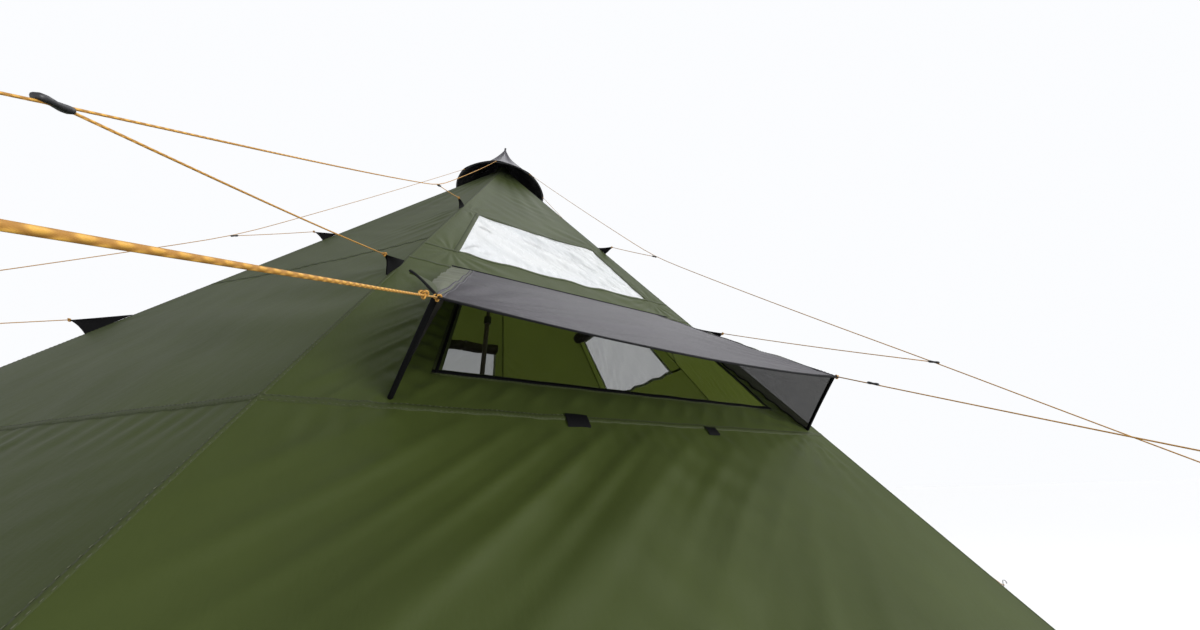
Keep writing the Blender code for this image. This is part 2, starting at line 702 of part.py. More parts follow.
def print_joints():
    """Prints each hinge and slide in world coordinates, for the record."""
    for index in (FRONT, BACK):
        matrix = awning_matrix(index)
        print("awning hinge", PANEL_NAMES[index], list(matrix.translation), list(matrix.col[0][:3]))
    for index in (RIGHT, LEFT):
        matrix = panel_matrix(index)
        foot = matrix @ Vector((-half_width(DOOR_FOOT, DOOR_SHARE), -slant(DOOR_FOOT), CLOTH / 2))
        top = matrix @ Vector((-half_width(DOOR_TOP, DOOR_SHARE), -slant(DOOR_TOP), CLOTH / 2))
        print("door hinge", PANEL_NAMES[index], list(foot), list((top - foot).normalized()))
        foot = matrix @ Vector((half_width(DOOR_FOOT, DOOR_SHARE), -slant(DOOR_FOOT), 0))
        top = matrix @ Vector((half_width(DOOR_TOP, DOOR_SHARE), -slant(DOOR_TOP), 0))
        print("slider", PANEL_NAMES[index], list((top - foot).normalized()), (top - foot).length)


clear_scene()
TENT = new_collection("tent")
WORKING = new_collection("working_pieces", working=True)
make_groundsheet()
make_panels()
make_windows()
make_awning(FRONT)
make_awning(BACK)
make_door(RIGHT)
make_door(LEFT)
make_zip_slider(RIGHT)
make_zip_slider(LEFT)
make_pole()
make_crown()
make_cap()
make_ridge_guylines()
make_awning_guylines()
print_joints()
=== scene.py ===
# %% [markdown]
# An eight-sided peaked tent, dressed for its portrait.
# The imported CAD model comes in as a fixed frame: poles, pegs and hinges stay where they are.
# Everything soft is built again here as thin cloth, rope and webbing, and rides on the CAD bodies.

import math

import bpy
import numpy as np
from mathutils import Matrix, Vector


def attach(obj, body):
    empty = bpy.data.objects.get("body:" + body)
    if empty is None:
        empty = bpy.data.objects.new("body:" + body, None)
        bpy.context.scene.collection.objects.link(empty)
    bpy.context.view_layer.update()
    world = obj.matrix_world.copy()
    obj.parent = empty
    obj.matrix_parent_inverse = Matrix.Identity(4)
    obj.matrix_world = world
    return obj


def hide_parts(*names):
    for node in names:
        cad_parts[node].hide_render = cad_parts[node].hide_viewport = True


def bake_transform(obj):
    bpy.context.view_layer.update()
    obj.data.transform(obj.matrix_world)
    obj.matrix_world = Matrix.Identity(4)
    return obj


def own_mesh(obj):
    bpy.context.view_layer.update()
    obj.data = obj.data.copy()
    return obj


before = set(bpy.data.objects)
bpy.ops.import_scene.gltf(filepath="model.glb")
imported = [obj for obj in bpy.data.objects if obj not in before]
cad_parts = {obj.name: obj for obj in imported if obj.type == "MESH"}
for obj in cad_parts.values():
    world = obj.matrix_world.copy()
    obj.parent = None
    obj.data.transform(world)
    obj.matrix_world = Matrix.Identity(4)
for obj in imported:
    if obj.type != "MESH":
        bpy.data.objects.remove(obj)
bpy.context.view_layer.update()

# %% [markdown]
# A tent is cut from flat panels, so a few sizes rule all the rest: how high the apex would be,
# how far the corners stand from the middle, and the heights of the seams that run round it.
# Each panel gets its own flat axes, and every later piece is placed by how far across and how
# high it lies on its panel.

# %% Sizes of the tent
SIDES = 8
APEX = 3.30
CORNER_RADIUS = 2.52
FLY_TOP = 3.16
FLY_FOOT = 0.030
UPPER_TAB, LOWER_TAB = 1.935, 1.245
ROOF_WINDOW_TOP, ROOF_WINDOW_FOOT, ROOF_WINDOW_SHARE = 1.915, 1.449, 0.80
ROOF_SEAM = 1.495
AWNING_SEAM = 1.327
DOOR_TOP, DOOR_FOOT, DOOR_SHARE = 1.270, 0.080, 0.60
WALL_SEAM = 0.790
# An opening is its left and right share of the panel's half width, then its foot and its top.
ROOF_WINDOW = (-ROOF_WINDOW_SHARE, ROOF_WINDOW_SHARE, ROOF_WINDOW_FOOT, ROOF_WINDOW_TOP)
NET_WINDOW = (-0.68, 0.81, 0.878, 1.290)
DOORWAY = (-DOOR_SHARE, DOOR_SHARE, DOOR_FOOT, DOOR_TOP)
SECTOR = 2 * math.pi / SIDES
RIDGE_SLOPE = CORNER_RADIUS / APEX
FLAT_SLOPE = RIDGE_SLOPE * math.cos(SECTOR / 2)
WIDTH_SLOPE = RIDGE_SLOPE * math.sin(SECTOR / 2)
SLANT = math.hypot(1, FLAT_SLOPE)
PANELS = ("front", "front_right", "right", "back_right", "back", "back_left", "left", "front_left")
FRONT, RIGHT, BACK, LEFT = 0, 2, 4, 6
ENDS = ((FRONT, "front"), (BACK, "back"))
DOORS = ((RIGHT, "right"), (LEFT, "left"))
print("panel slope", round(math.degrees(math.atan(1 / FLAT_SLOPE)), 1), "degrees")

# %% Panel axes
def half_width(height):
    return WIDTH_SLOPE * (APEX - height)


def panel_axes(index):
    angle = -math.pi / 2 + index * SECTOR
    outward = np.array([math.cos(angle), math.sin(angle), 0.0])
    along = np.array([-outward[1], outward[0], 0.0])
    upward = np.array([-outward[0] * FLAT_SLOPE, -outward[1] * FLAT_SLOPE, 1.0]) / SLANT
    return along, upward, np.cross(along, upward)


def flat_point(index, across, height, lift=0.0):
    """World points on the flat panel: metres across it, height above the ground, metres off it."""
    along, upward, normal = panel_axes(index)
    across, height, lift = np.broadcast_arrays(
        *(np.asarray(value, float) for value in (across, height, lift)))
    down = SLANT * (APEX - height)
    return (np.array([0, 0, APEX]) + across[..., None] * along - down[..., None] * upward
            + lift[..., None] * normal)


def ridge_angle(ridge):
    """The direction of a ridge from the middle; ridge 0 is to the left of the front panel."""
    return -math.pi / 2 + (ridge - 0.5) * SECTOR


def off_middle(angle):
    """How far a direction turns away from the middle of the panel that it meets."""
    return (angle + math.pi / 2 + SECTOR / 2) % SECTOR - SECTOR / 2


def side_named(index, side):
    """The tent's name for a side of an end panel: the back's left is on the right from behind."""
    return "left" if (side < 0) == (index == FRONT) else "right"


print("foot of the front panel", flat_point(FRONT, 0, FLY_FOOT).round(3).tolist())

# %% [markdown]
# Pitched cloth is never flat. It bellies a little between the ridges, hangs in broad diagonal
# folds below the wall seam, and puckers in fans where a guyline, a window corner or a strap pulls
# on it. One function gives this relief for any point of a panel, so that seams, windows and
# bindings, which call it too, always lie on the cloth.

# %% Shapes of single folds
def bell(value, middle, reach):
    """One in the middle and nothing far from it."""
    return np.exp(-((value - middle) / reach) ** 2)


def fan(across, height, centre, reach, depth, count, turn=0.0):
    """Folds that radiate from a point where something pulls on the cloth."""
    dx, dy = across - centre[0], (height - centre[1]) * SLANT
    away = np.hypot(dx, dy)
    angle = np.arctan2(dy, dx)
    fade = np.exp(-(away / reach) ** 2) * away / (away + 0.05)
    return depth * fade * np.cos(count * angle + turn)


def waves(across, height, depth, length, lean, seed):
    """A few soft waves in one rough direction, with a fixed seed, for creases that never repeat."""
    chance = np.random.default_rng(seed)
    total = 0
    for _ in range(5):
        angle = lean + chance.normal(0, 0.16)
        pace = 2 * math.pi / (length * chance.uniform(0.7, 1.5))
        run = across * math.cos(angle) + height * SLANT * math.sin(angle)
        total = total + np.cos(pace * run + chance.uniform(0, 6.28))
    return depth * total / 2.2


def patch(across, height, centre, size):
    """A soft spot, one in its middle and nothing far from it."""
    return bell(across, centre[0], size[0]) * bell(height, centre[1], size[1])


def creases(across, height, lean, length, depth, seed):
    """Parallel creases that lean by so many degrees, a little uneven in their spacing."""
    lean = math.radians(lean)
    over = height * SLANT * math.cos(lean) - across * math.sin(lean)
    along = height * SLANT * math.sin(lean) + across * math.cos(lean)
    wander = 1.1 * np.sin(over * 13 + seed) + 1.2 * np.sin(along * 5.1 + 2 * seed)
    wave = np.cos(2 * math.pi * over / length + wander)
    return depth * (wave + 0.35 * np.cos(4 * math.pi * over / length + 2 * wander))


print("a crease at its own place", round(float(creases(0, 1, 40, 0.17, 0.005, 3)) * 1000, 1), "mm")

# %% Folds round the windows and beside them
# Where folds fan out from the corners of the roof window, and how many there would be all round.
WINDOW_FANS = (((-0.36, 1.93), 13), ((0.36, 1.93), 11), ((-0.45, 1.44), 15), ((0.45, 1.44), 15))
GUSSET_FAN = (0.66, 0.80)


def end_relief(share, across, height):
    """Folds round the windows of the front and back panels."""
    out = fan(across, height, GUSSET_FAN, reach=0.24, depth=0.0022, count=18, turn=1.0)
    for centre, count in WINDOW_FANS:
        out = out + fan(across, height, centre, reach=0.20, depth=0.0025, count=count)
    beside = creases(across, height, lean=52, length=0.050, depth=0.0036, seed=4)
    out = out + beside * patch(share, height, centre=(-0.86, 0.98), size=(0.12, 0.19))
    strips = (patch(share, height, centre=(-0.74, 1.02), size=(0.05, 0.20))
              + patch(share, height, centre=(0.87, 1.00), size=(0.05, 0.24)))
    out = out + strips * (0.0020 + 0.0034 * np.cos(2 * math.pi * (height * 26 + across * 9)))
    sill = creases(across, height, lean=50, length=0.066, depth=0.0022, seed=6)
    return out + sill * bell(height, middle=0.838, reach=0.024)


def neighbour_relief(across, height):
    """Folds of the panel to the left of an end panel, near the ridge between the two."""
    pulled = creases(across, height, lean=48, length=0.11, depth=0.0024, seed=2)
    loose = waves(across, height, depth=0.0040, length=0.26, lean=1.15, seed=8)
    near = bell(across, half_width(height), reach=0.24)
    return (pulled * near * bell(height, middle=1.74, reach=0.20)
            + loose * bell(height, middle=1.05, reach=0.3))


print("folds fan out from", len(WINDOW_FANS) + 1, "places on each end panel")

# %% Relief of a whole panel
FOLD_DEPTH, SECOND_FOLD_DEPTH = 0.018, 0.006
SIDE_PANEL_FOLDS = 0.35
BELLY = 0.012
PUCKER, PUCKER_PITCH = 0.0011, 0.052


def relief(index, across, height):
    """How far the cloth stands out of its flat panel."""
    kind = index % 4
    share = across / half_width(height)
    middle = np.clip(1 - share ** 2, 0, 1)
    down = (WALL_SEAM - height) / (WALL_SEAM - FLY_FOOT)
    wall = np.sin(math.pi * np.clip(down, 0, 1))
    roof = np.sin(math.pi * np.clip((height - WALL_SEAM) / (FLY_TOP - WALL_SEAM), 0, 1))
    out = -BELLY * middle * roof
    pucker = PUCKER * np.cos(across * 2 * math.pi / PUCKER_PITCH + 3 * np.sin(across * 9))
    out = out + pucker * (bell(height, WALL_SEAM - 0.03, reach=0.035)
                          + bell(height, ROOF_SEAM, reach=0.03))
    folded = (1 - 0.8 * np.clip(share / 0.45, 0, 1)) * (SIDE_PANEL_FOLDS if kind == 2 else 1.0)
    broad = FOLD_DEPTH * np.cos(2 * math.pi * (share * 0.8 + down * 0.9))
    second = SECOND_FOLD_DEPTH * np.cos(2 * math.pi * (share * 2.3 + down * 1.5) + 1.3 * kind)
    diagonal = creases(across, height, lean=40, length=0.17, depth=0.0050, seed=3)
    out = out + folded * middle * wall * (broad + second + diagonal)
    hanging = creases(across, height, lean=35, length=0.074, depth=0.0024, seed=1 + kind)
    below = np.clip((WALL_SEAM - height) / 0.035, 0, 1) * bell(height, middle=0.66, reach=0.13)
    out = out + folded * hanging * below
    out = out + waves(across, height, depth=0.0010, length=0.11, lean=0.9, seed=11 + kind) * middle
    upper = 0.0030 * np.cos(share * 13 + kind) * bell(height, middle=2.65, reach=0.4)
    out = out + upper * middle
    if kind == 0:
        out = out + end_relief(share, across, height)
    if kind == 3:
        out = out + neighbour_relief(across, height)
    for level in (UPPER_TAB, LOWER_TAB):
        for side in (-1, 1):
            corner = (side * half_width(level), level)
            out = out + fan(across, height, corner, reach=0.17, depth=0.0015, count=8, turn=0.5 * kind)
    return out * np.clip((1 - np.abs(share)) * 9, 0, 1)


print("deepest fold", round(float(relief(FRONT, np.linspace(-0.6, 0.6, 50), 0.4).max()) * 1000), "mm")

# %% Points on the pitched cloth
def hem_sway(index, across, height):
    """The lower hem of a roof window wavers a little instead of running level."""
    if index % 2:
        return 0.0
    sway = 0.0048 * np.sin(across * 2 * math.pi / 0.21 + 1.2) + 0.0012 * np.sin(across * 47)
    return sway * bell(height, ROOF_WINDOW_FOOT, reach=0.035)


def on_cloth(index, across, height, lift=0.0):
    """World points on the pitched panel, or a little off it."""
    across, height = np.broadcast_arrays(np.asarray(across, float), np.asarray(height, float))
    share = np.abs(across) / half_width(height)
    height = height + hem_sway(index, across, height) * np.clip((0.98 - share) * 9, 0, 1)
    return flat_point(index, across, height, relief(index, across, height) + lift)


print("middle of the front wall", on_cloth(FRONT, 0, 0.4).round(3).tolist())

# %% [markdown]
# The camera stands close in front of the left part of the tent, low down, and looks up at the
# peak. Its place and turn were found by matching the tent's own corners and seams, so the script
# only holds the result: a place, two angles and a slight roll.

# %% Camera
CAMERA_PLACE = Vector((-0.5726, -2.5205, 0.639))
CAMERA_YAW = math.radians(31.22)
CAMERA_PITCH = math.radians(25.51)
CAMERA_ROLL = math.radians(-2.24)
CAMERA_LENS, CAMERA_SENSOR, CAMERA_NEAREST = 11.214, 36, 0.02


def linked(name, data):
    """An object that holds this data, linked into the scene."""
    made = bpy.data.objects.new(name, data)
    bpy.context.scene.collection.objects.link(made)
    return made


camera_data = bpy.data.cameras.new("portrait")
camera_data.lens = CAMERA_LENS
camera_data.sensor_width = CAMERA_SENSOR
camera_data.clip_start = CAMERA_NEAREST
camera = linked("portrait", camera_data)
bpy.context.scene.camera = camera
ahead = Vector((math.sin(CAMERA_YAW) * math.cos(CAMERA_PITCH),
                math.cos(CAMERA_YAW) * math.cos(CAMERA_PITCH), math.sin(CAMERA_PITCH)))
level = Vector((math.cos(CAMERA_YAW), -math.sin(CAMERA_YAW), 0))
above = level.cross(ahead)
rolled_right = level * math.cos(CAMERA_ROLL) + above * math.sin(CAMERA_ROLL)
rolled_up = above * math.cos(CAMERA_ROLL) - level * math.sin(CAMERA_ROLL)
camera.matrix_world = Matrix.Translation(CAMERA_PLACE) @ Matrix(
    (rolled_right, rolled_up, -ahead)).transposed().to_4x4()
print("camera looks up by", round(math.degrees(CAMERA_PITCH), 1), "degrees")

# %% [markdown]
# A studio for a tent is a pale floor that runs out of sight and a pale surround that lights all
# of it softly. Two soft suns stand to the right, one low in front and one high, and leave the
# left panels in shade as in the photograph. A wide low lamp in front fills the wall.

# %% Floor
FLOOR_REACH, FLOOR_DROP = 60, 0.001
FLOOR_COLOUR, FLOOR_ROUGHNESS = (0.90, 0.90, 0.90), 0.9
floor_finish = bpy.data.materials.new("studio_floor")
floor_finish.use_nodes = True
floor_shader = floor_finish.node_tree.nodes["Principled BSDF"]
floor_shader.inputs["Base Color"].default_value = (*FLOOR_COLOUR, 1)
floor_shader.inputs["Roughness"].default_value = FLOOR_ROUGHNESS
floor_mesh = bpy.data.meshes.new("studio_floor")
floor_mesh.from_pydata([(x * FLOOR_REACH, y * FLOOR_REACH, -FLOOR_DROP)
                        for x, y in ((-1, -1), (1, -1), (1, 1), (-1, 1))], [], [(0, 1, 2, 3)])
floor_mesh.materials.append(floor_finish)
linked("studio_floor", floor_mesh)
print("floor reaches", FLOOR_REACH, "m each way")

# %% Surround
SURROUND_LIGHT, SURROUND_SEEN = 0.62, 1.0
SURROUND_COLOUR = (0.97, 0.98, 1.0)
world = bpy.data.worlds.new("studio")
world.use_nodes = True
background = world.node_tree.nodes["Background"]
background.inputs["Color"].default_value = (*SURROUND_COLOUR, 1)
seen_directly = world.node_tree.nodes.new("ShaderNodeLightPath")
brightness = world.node_tree.nodes.new("ShaderNodeMapRange")
brightness.inputs["To Min"].default_value = SURROUND_LIGHT
brightness.inputs["To Max"].default_value = SURROUND_SEEN
world.node_tree.links.new(seen_directly.outputs["Is Camera Ray"], brightness.inputs["Value"])
world.node_tree.links.new(brightness.outputs["Result"], background.inputs["Strength"])
bpy.context.scene.world = world
bpy.context.scene.view_settings.view_transform = "Standard"
print("surround lights the tent with", SURROUND_LIGHT)

# %% Lamps
# Name, the direction it stands in, strength, softness in degrees and colour.
SUNS = (("key", (0.60, -0.70, 0.33), 1.0, 50, (1.0, 0.99, 0.97)),
        ("rim", (0.45, 0.08, 0.88), 1.35, 60, (0.97, 0.98, 1.0)))
FILL_PLACE, FILL_AIM = (1.9, -6.2, 1.00), (0.0, -1.7, 0.80)
FILL_WIDTH, FILL_HEIGHT, FILL_POWER = 2.6, 1.0, 165
for name, stands_in, strength, softness, colour in SUNS:
    sun_data = bpy.data.lights.new(name, "SUN")
    sun_data.energy = strength
    sun_data.angle = math.radians(softness)
    sun_data.color = colour
    linked(name, sun_data).rotation_euler = Vector(stands_in).to_track_quat("Z", "Y").to_euler()
fill_data = bpy.data.lights.new("low_fill", "AREA")
fill_data.shape = "RECTANGLE"
fill_data.size, fill_data.size_y = FILL_WIDTH, FILL_HEIGHT
fill_data.energy = FILL_POWER
fill = linked("low_fill", fill_data)
fill.location = FILL_PLACE
fill.rotation_euler = (Vector(FILL_PLACE) - Vector(FILL_AIM)).to_track_quat("Z", "Y").to_euler()

# %% [markdown]
# Cloth, film, net and rope each get a node material. Threads run both ways in a woven cloth, so
# its bump mixes two stretched noises, one along the warp and one along the weft. A soft large
# noise shifts the colour a little, and a translucent part lets daylight glow through the fly,
# which is what makes the inside of the tent bright green.

# %% A helper for shader nodes
class Nodes:
    """Short calls to add and join shader nodes."""

    def __init__(self, name):
        self.material = bpy.data.materials.new(name)
        self.material.use_nodes = True
        self.tree = self.material.node_tree
        self.shader = self.tree.nodes["Principled BSDF"]
        self.output = self.tree.nodes["Material Output"]

    def feed(self, node, values):
        """Gives sockets of a node, by name or number, a link, a number or a colour."""
        for name, value in values.items():
            socket = node.inputs[name]
            if hasattr(value, "links"):
                self.tree.links.new(value, socket)
            elif isinstance(value, tuple):
                socket.default_value = (*value, 1)
            else:
                socket.default_value = value

    def add(self, kind, values, **settings):
        node = self.tree.nodes.new(kind)
        for key, value in settings.items():
            setattr(node, key, value)
        self.feed(node, values)
        return node

    def coordinates(self, output="Object", scale=(1, 1, 1), turn=0.0):
        source = self.add("ShaderNodeTexCoord", {})
        mapping = self.add("ShaderNodeMapping", {"Vector": source.outputs[output]})
        mapping.inputs["Scale"].default_value = scale
        mapping.inputs["Rotation"].default_value = (0, 0, turn)
        return mapping.outputs["Vector"]

    def noise(self, vector, scale, detail=3.0, rough=0.5):
        node = self.add("ShaderNodeTexNoise", {"Vector": vector, "Scale": scale, "Detail": detail,
                                               "Roughness": rough})
        return node.outputs["Fac"]

    def wave(self, vector, direction, scale, distortion=0.0):
        node = self.add("ShaderNodeTexWave", {"Vector": vector, "Scale": scale,
                                              "Distortion": distortion},
                        wave_type="BANDS", bands_direction=direction, wave_profile="SIN")
        return node.outputs["Fac"]

    def blend(self, factor, first, second, kind="MIX"):
        """Mixes two colours; numbers 6 and 7 are the colour sockets of the mix node."""
        node = self.add("ShaderNodeMix", {"Factor": factor, 6: first, 7: second},
                        data_type="RGBA", blend_type=kind)
        return node.outputs[2]

    def spread(self, value, low, high, start=0.3, end=0.7):
        node = self.add("ShaderNodeMapRange", {"Value": value, "From Min": start, "From Max": end,
                                               "To Min": low, "To Max": high})
        return node.outputs["Result"]

    def bump(self, height, strength, distance, before=None):
        node = self.add("ShaderNodeBump", {"Height": height, "Strength": strength,
                                           "Distance": distance})
        if before is not None:
            self.feed(node, {"Normal": before})
        return node.outputs["Normal"]

    def mixed(self, share, first, second):
        """Ends the material in a mix of two shaders."""
        both = self.add("ShaderNodeMixShader", {0: share, 1: first.outputs[0],
                                                2: second.outputs[0]})
        self.feed(self.output, {"Surface": both.outputs[0]})

    def glowing(self, share, colour, normal):
        """Lets a share of the light through the sheet."""
        through = self.add("ShaderNodeBsdfTranslucent", {"Color": colour, "Normal": normal})
        self.mixed(share, self.shader, through)


print("node helper ready")

# %% Woven cloth
def shade(colour, share):
    """The same colour, darker or lighter."""
    return tuple(value * share for value in colour)


def woven(name, colour, rough, sheen, glow=None, glow_share=0.0, threads=900, mottle=0.12,
          gloss=0.2):
    """A woven cloth in metres of its own UV map: mottled colour, threads, creases and glow."""
    n = Nodes(name)
    warp = n.noise(n.coordinates("UV", (1, 0.06, 1)), threads, detail=2)
    weft = n.noise(n.coordinates("UV", (0.06, 1, 1)), threads, detail=2)
    weave = n.blend(0.5, warp, weft)
    cloudy = n.spread(n.noise(n.coordinates("UV"), 3.1, detail=4, rough=0.55), 0, 1)
    creased = n.noise(n.coordinates("UV", (1, 0.45, 1), turn=0.6), 14, detail=4, rough=0.6)
    lighter = shade(colour, 1 + mottle)
    tint = n.blend(cloudy, shade(colour, 1 - mottle), lighter)
    soft_creases = n.bump(creased, strength=0.5, distance=0.004)
    normal = n.bump(weave, strength=0.30, distance=0.0004, before=soft_creases)
    n.feed(n.shader, {
        "Base Color": n.blend(n.spread(weave, 0, 0.4, 0.35, 0.65), tint, lighter),
        "Roughness": n.spread(weave, rough - 0.06, rough + 0.06), "Normal": normal,
        "Sheen Weight": sheen, "Sheen Roughness": 0.4, "Specular IOR Level": gloss})
    if glow:
        n.glowing(glow_share, n.blend(cloudy, shade(glow, 0.9), glow), normal)
    return n.material


# %% Cloth materials
# Colour, roughness, sheen, and for a thin cloth the colour that glows through it and its share.
FLY = woven("olive_cloth", (0.052, 0.070, 0.016), 0.50, 0.05, (0.160, 0.210, 0.034), 0.38)
# The darker hem cloth also darkens the crown under the cap, as painted shade.
FLY_HEM_AND_PAINTED_SHADE = woven("olive_hem_and_painted_shade", (0.036, 0.047, 0.013), 0.60, 0.02, (0.10, 0.14, 0.015), 0.14)
# The awning's margins get the fly's cloth painted paler: painted light, as they face up to the sky.
FLY_PAINTED_LIGHT = woven("olive_margin_painted_light", (0.105, 0.115, 0.075), 0.55, 0.04, (0.150, 0.18, 0.06), 0.20)
AWNING = woven("grey_cloth", (0.034, 0.030, 0.038), 0.42, 0.02, (0.09, 0.09, 0.11), 0.12,
               gloss=0.10)
AWNING_HEM = woven("grey_hem", (0.032, 0.029, 0.036), 0.5, 0.04)
CAP_CLOTH = woven("cap_grey", (0.078, 0.073, 0.088), 0.45, 0.05, (0.10, 0.10, 0.12), 0.06)
WEBBING = woven("black_webbing", (0.0036, 0.0036, 0.004), 0.8, 0.0, threads=420, mottle=0.3,
                gloss=0.08)
GROUND_CLOTH = woven("ground_cloth", (0.055, 0.057, 0.060), 0.5, 0.1, threads=500)
COVER_CLOTH = woven("blind_cloth", (0.060, 0.048, 0.040), 0.8, 0.02)
print("cloths", [m.name for m in (FLY, FLY_HEM_AND_PAINTED_SHADE, AWNING, AWNING_HEM, CAP_CLOTH, WEBBING)])

# %% [markdown]
# The roof windows are film that has gone cloudy, so their roughness follows a fine noise and part
# of the light glows through. The nets are too fine to model hole by hole: two crossed waves
# decide where the view passes and where it stops. The rope's braid is two waves that wind
# round it against each other.

# %% Window film
def film_material():
    """Clear film, clouded by age."""
    n = Nodes("window_film")
    clouds = n.noise(n.coordinates("UV"), 2.4)
    fine = n.noise(n.coordinates("UV", (1, 0.35, 1), turn=0.9), 22, detail=5, rough=0.62)
    normal = n.bump(fine, strength=0.30, distance=0.004)
    n.feed(n.shader, {
        "Base Color": n.blend(n.spread(clouds, 0, 1), (0.86, 0.89, 0.93), (0.96, 0.97, 0.98)),
        "Roughness": n.spread(fine, 0.18, 0.34), "Normal": normal, "Coat Weight": 0.4})
    n.glowing(0.45, (0.92, 0.93, 0.95), normal)
    return n.material


FILM = film_material()
print("film", FILM.name)

# %% Nets
NET_HOLE = 0.0016


def net_material(name, colour, open_share):
    """A knitted net: fine holes let about open_share of the view through."""
    n = Nodes(name)
    rows = [n.wave(n.coordinates("UV", turn=turn), "X", 0.314 / NET_HOLE, distortion=0.6)
            for turn in (0.5, -0.5)]
    knit = n.blend(0.5, *rows)
    folds = n.noise(n.coordinates("UV"), 5.0)
    n.feed(n.shader, {
        "Base Color": n.blend(n.spread(folds, 0, 1), colour, shade(colour, 1.7)),
        "Roughness": n.spread(knit, 0.7, 0.9, 0, 1), "Specular IOR Level": 0.2,
        "Normal": n.bump(knit, strength=0.3, distance=0.0005)})
    closed = n.spread(knit, 1.15 - open_share, 0.85 - open_share, 0.2, 0.8)
    n.mixed(closed, n.add("ShaderNodeBsdfTransparent", {}), n.shader)
    return n.material


NET = net_material("black_net", (0.006, 0.006, 0.005), 0.50)
VENT_NET = net_material("vent_net", (0.005, 0.005, 0.005), 0.06)
GUSSET_NET = net_material("gusset_net", (0.030, 0.027, 0.026), 0.05)
print("nets", [m.name for m in (NET, VENT_NET, GUSSET_NET)])

# %% Rope and thread
BRAID_TURNS = 60


def rope_material():
    """A braided cord: strands wind round it, in its own UV map of metres along and turns round."""
    n = Nodes("guy_rope")
    strands = [n.wave(n.coordinates("UV", (BRAID_TURNS, side, 1)), "DIAGONAL", 1.0)
               for side in (1, -1)]
    braid = n.blend(1.0, *strands, kind="MULTIPLY")
    dirt = n.noise(n.coordinates("Object"), 6.0)
    body = n.blend(n.spread(dirt, 0, 1), (0.46, 0.235, 0.035), (0.62, 0.34, 0.06))
    # The grooves between the strands get a darker brown: painted shade, on top of the bump.
    n.feed(n.shader, {
        "Base Color": n.blend(n.spread(braid, 0, 1, 0.0, 0.5), (0.30, 0.14, 0.02), body),
        "Roughness": n.spread(braid, 0.75, 0.55, 0, 1),
        "Normal": n.bump(braid, strength=0.6, distance=0.0008)})
    return n.material


def thread_material(name, colour):
    """Twisted sewing thread."""
    n = Nodes(name)
    twist = n.noise(n.coordinates("Object"), 700, detail=2)
    n.feed(n.shader, {
        "Base Color": n.blend(n.spread(twist, 0, 1), shade(colour, 0.7), colour),
        "Roughness": n.spread(twist, 0.6, 0.8),
        "Normal": n.bump(twist, strength=0.4, distance=0.0003)})
    return n.material


ROPE = rope_material()
THREAD = thread_material("fly_thread", (0.060, 0.070, 0.030))
GREY_THREAD = thread_material("grey_thread", (0.050, 0.048, 0.055))
print("rope and threads", [m.name for m in (ROPE, THREAD, GREY_THREAD)])

# %% Metal and plastic
def hard_material(name, colour, rough, metal, grain):
    """Metal or moulded plastic with handling marks and a faint grain."""
    n = Nodes(name)
    marks = n.noise(n.coordinates("Object", (1, 1, 0.2)), grain, detail=5, rough=0.65)
    broad = n.noise(n.coordinates("Object"), 7)
    n.feed(n.shader, {
        "Base Color": n.blend(n.spread(broad, 0, 1), shade(colour, 0.82), colour),
        "Roughness": n.spread(marks, rough - 0.08, rough + 0.12), "Metallic": metal,
        "Normal": n.bump(marks, strength=0.12, distance=0.0004)})
    return n.material


STEEL = hard_material("steel", (0.42, 0.42, 0.43), 0.32, 1.0, 160)
POLE_METAL = hard_material("pole_enamel", (0.085, 0.062, 0.048), 0.42, 0.0, 120)
PLASTIC = hard_material("dark_plastic", (0.018, 0.018, 0.020), 0.42, 0.0, 300)
print("finishes", len(bpy.data.materials))

# %% [markdown]
# Every soft piece below is a mesh made from a few rows of points, so a handful of helpers does
# the common work: join rows into faces, wrap a tube round a line, gather many strips into one
# piece, and hand the finished piece to the body that it rides on.

# %% Objects and grids
def make(name, points, faces, finish, uv=None):
    """An object from points and faces; uv has one row for each point or for each face corner."""
    points = np.asarray(points, float).reshape(-1, 3)
    corners = np.concatenate([np.asarray(face) for face in faces])
    used, renamed = np.unique(corners, return_inverse=True)
    sizes = np.cumsum([len(face) for face in faces])[:-1]
    mesh = bpy.data.meshes.new(name)
    mesh.from_pydata(points[used].tolist(), [], [part.tolist() for part in np.split(renamed, sizes)])
    if uv is not None:
        uv = np.asarray(uv, float).reshape(-1, 2)
        layer = mesh.uv_layers.new(name="UVMap")
        layer.data.foreach_set("uv", (uv if len(uv) == len(corners) else uv[corners]).ravel())
    mesh.materials.append(finish)
    mesh.shade_smooth()
    return linked(name, mesh)


def dress(piece, body="tent", stands_for=()):
    """Hands a piece to its body and hides the CAD nodes that it stands for."""
    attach(piece, body)
    if stands_for:
        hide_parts(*stands_for)
    return piece


def grid(rows, columns, keep=None):
    """Quads of a grid whose rows run down and whose columns run to the right, seen from outside."""
    row, column = np.mgrid[0:rows - 1, 0:columns - 1]
    if keep is not None:
        row, column = row[keep], column[keep]
    first = (row * columns + column).ravel()
    return np.stack([first, first + columns, first + columns + 1, first + 1], axis=1).tolist()


print("a grid of 3 by 4 points has", len(grid(3, 4)), "faces")

# %% Lines and tubes
CLOSING_STEP = 0.002


def walk(points, step=0.012):
    """Points at even steps along a broken line that keeps its corners."""
    points = np.asarray(points, float)
    out = [points[:1]]
    for start, end in zip(points[:-1], points[1:]):
        count = math.ceil(np.linalg.norm(end - start) / step) + 1
        out.append(start + (end - start) * np.linspace(0, 1, max(count, 2))[1:, None])
    return np.concatenate(out)


def run_length(path):
    """How far along a line each of its points lies."""
    return np.concatenate([[0], np.cumsum(np.linalg.norm(np.diff(path, axis=0), axis=1))])


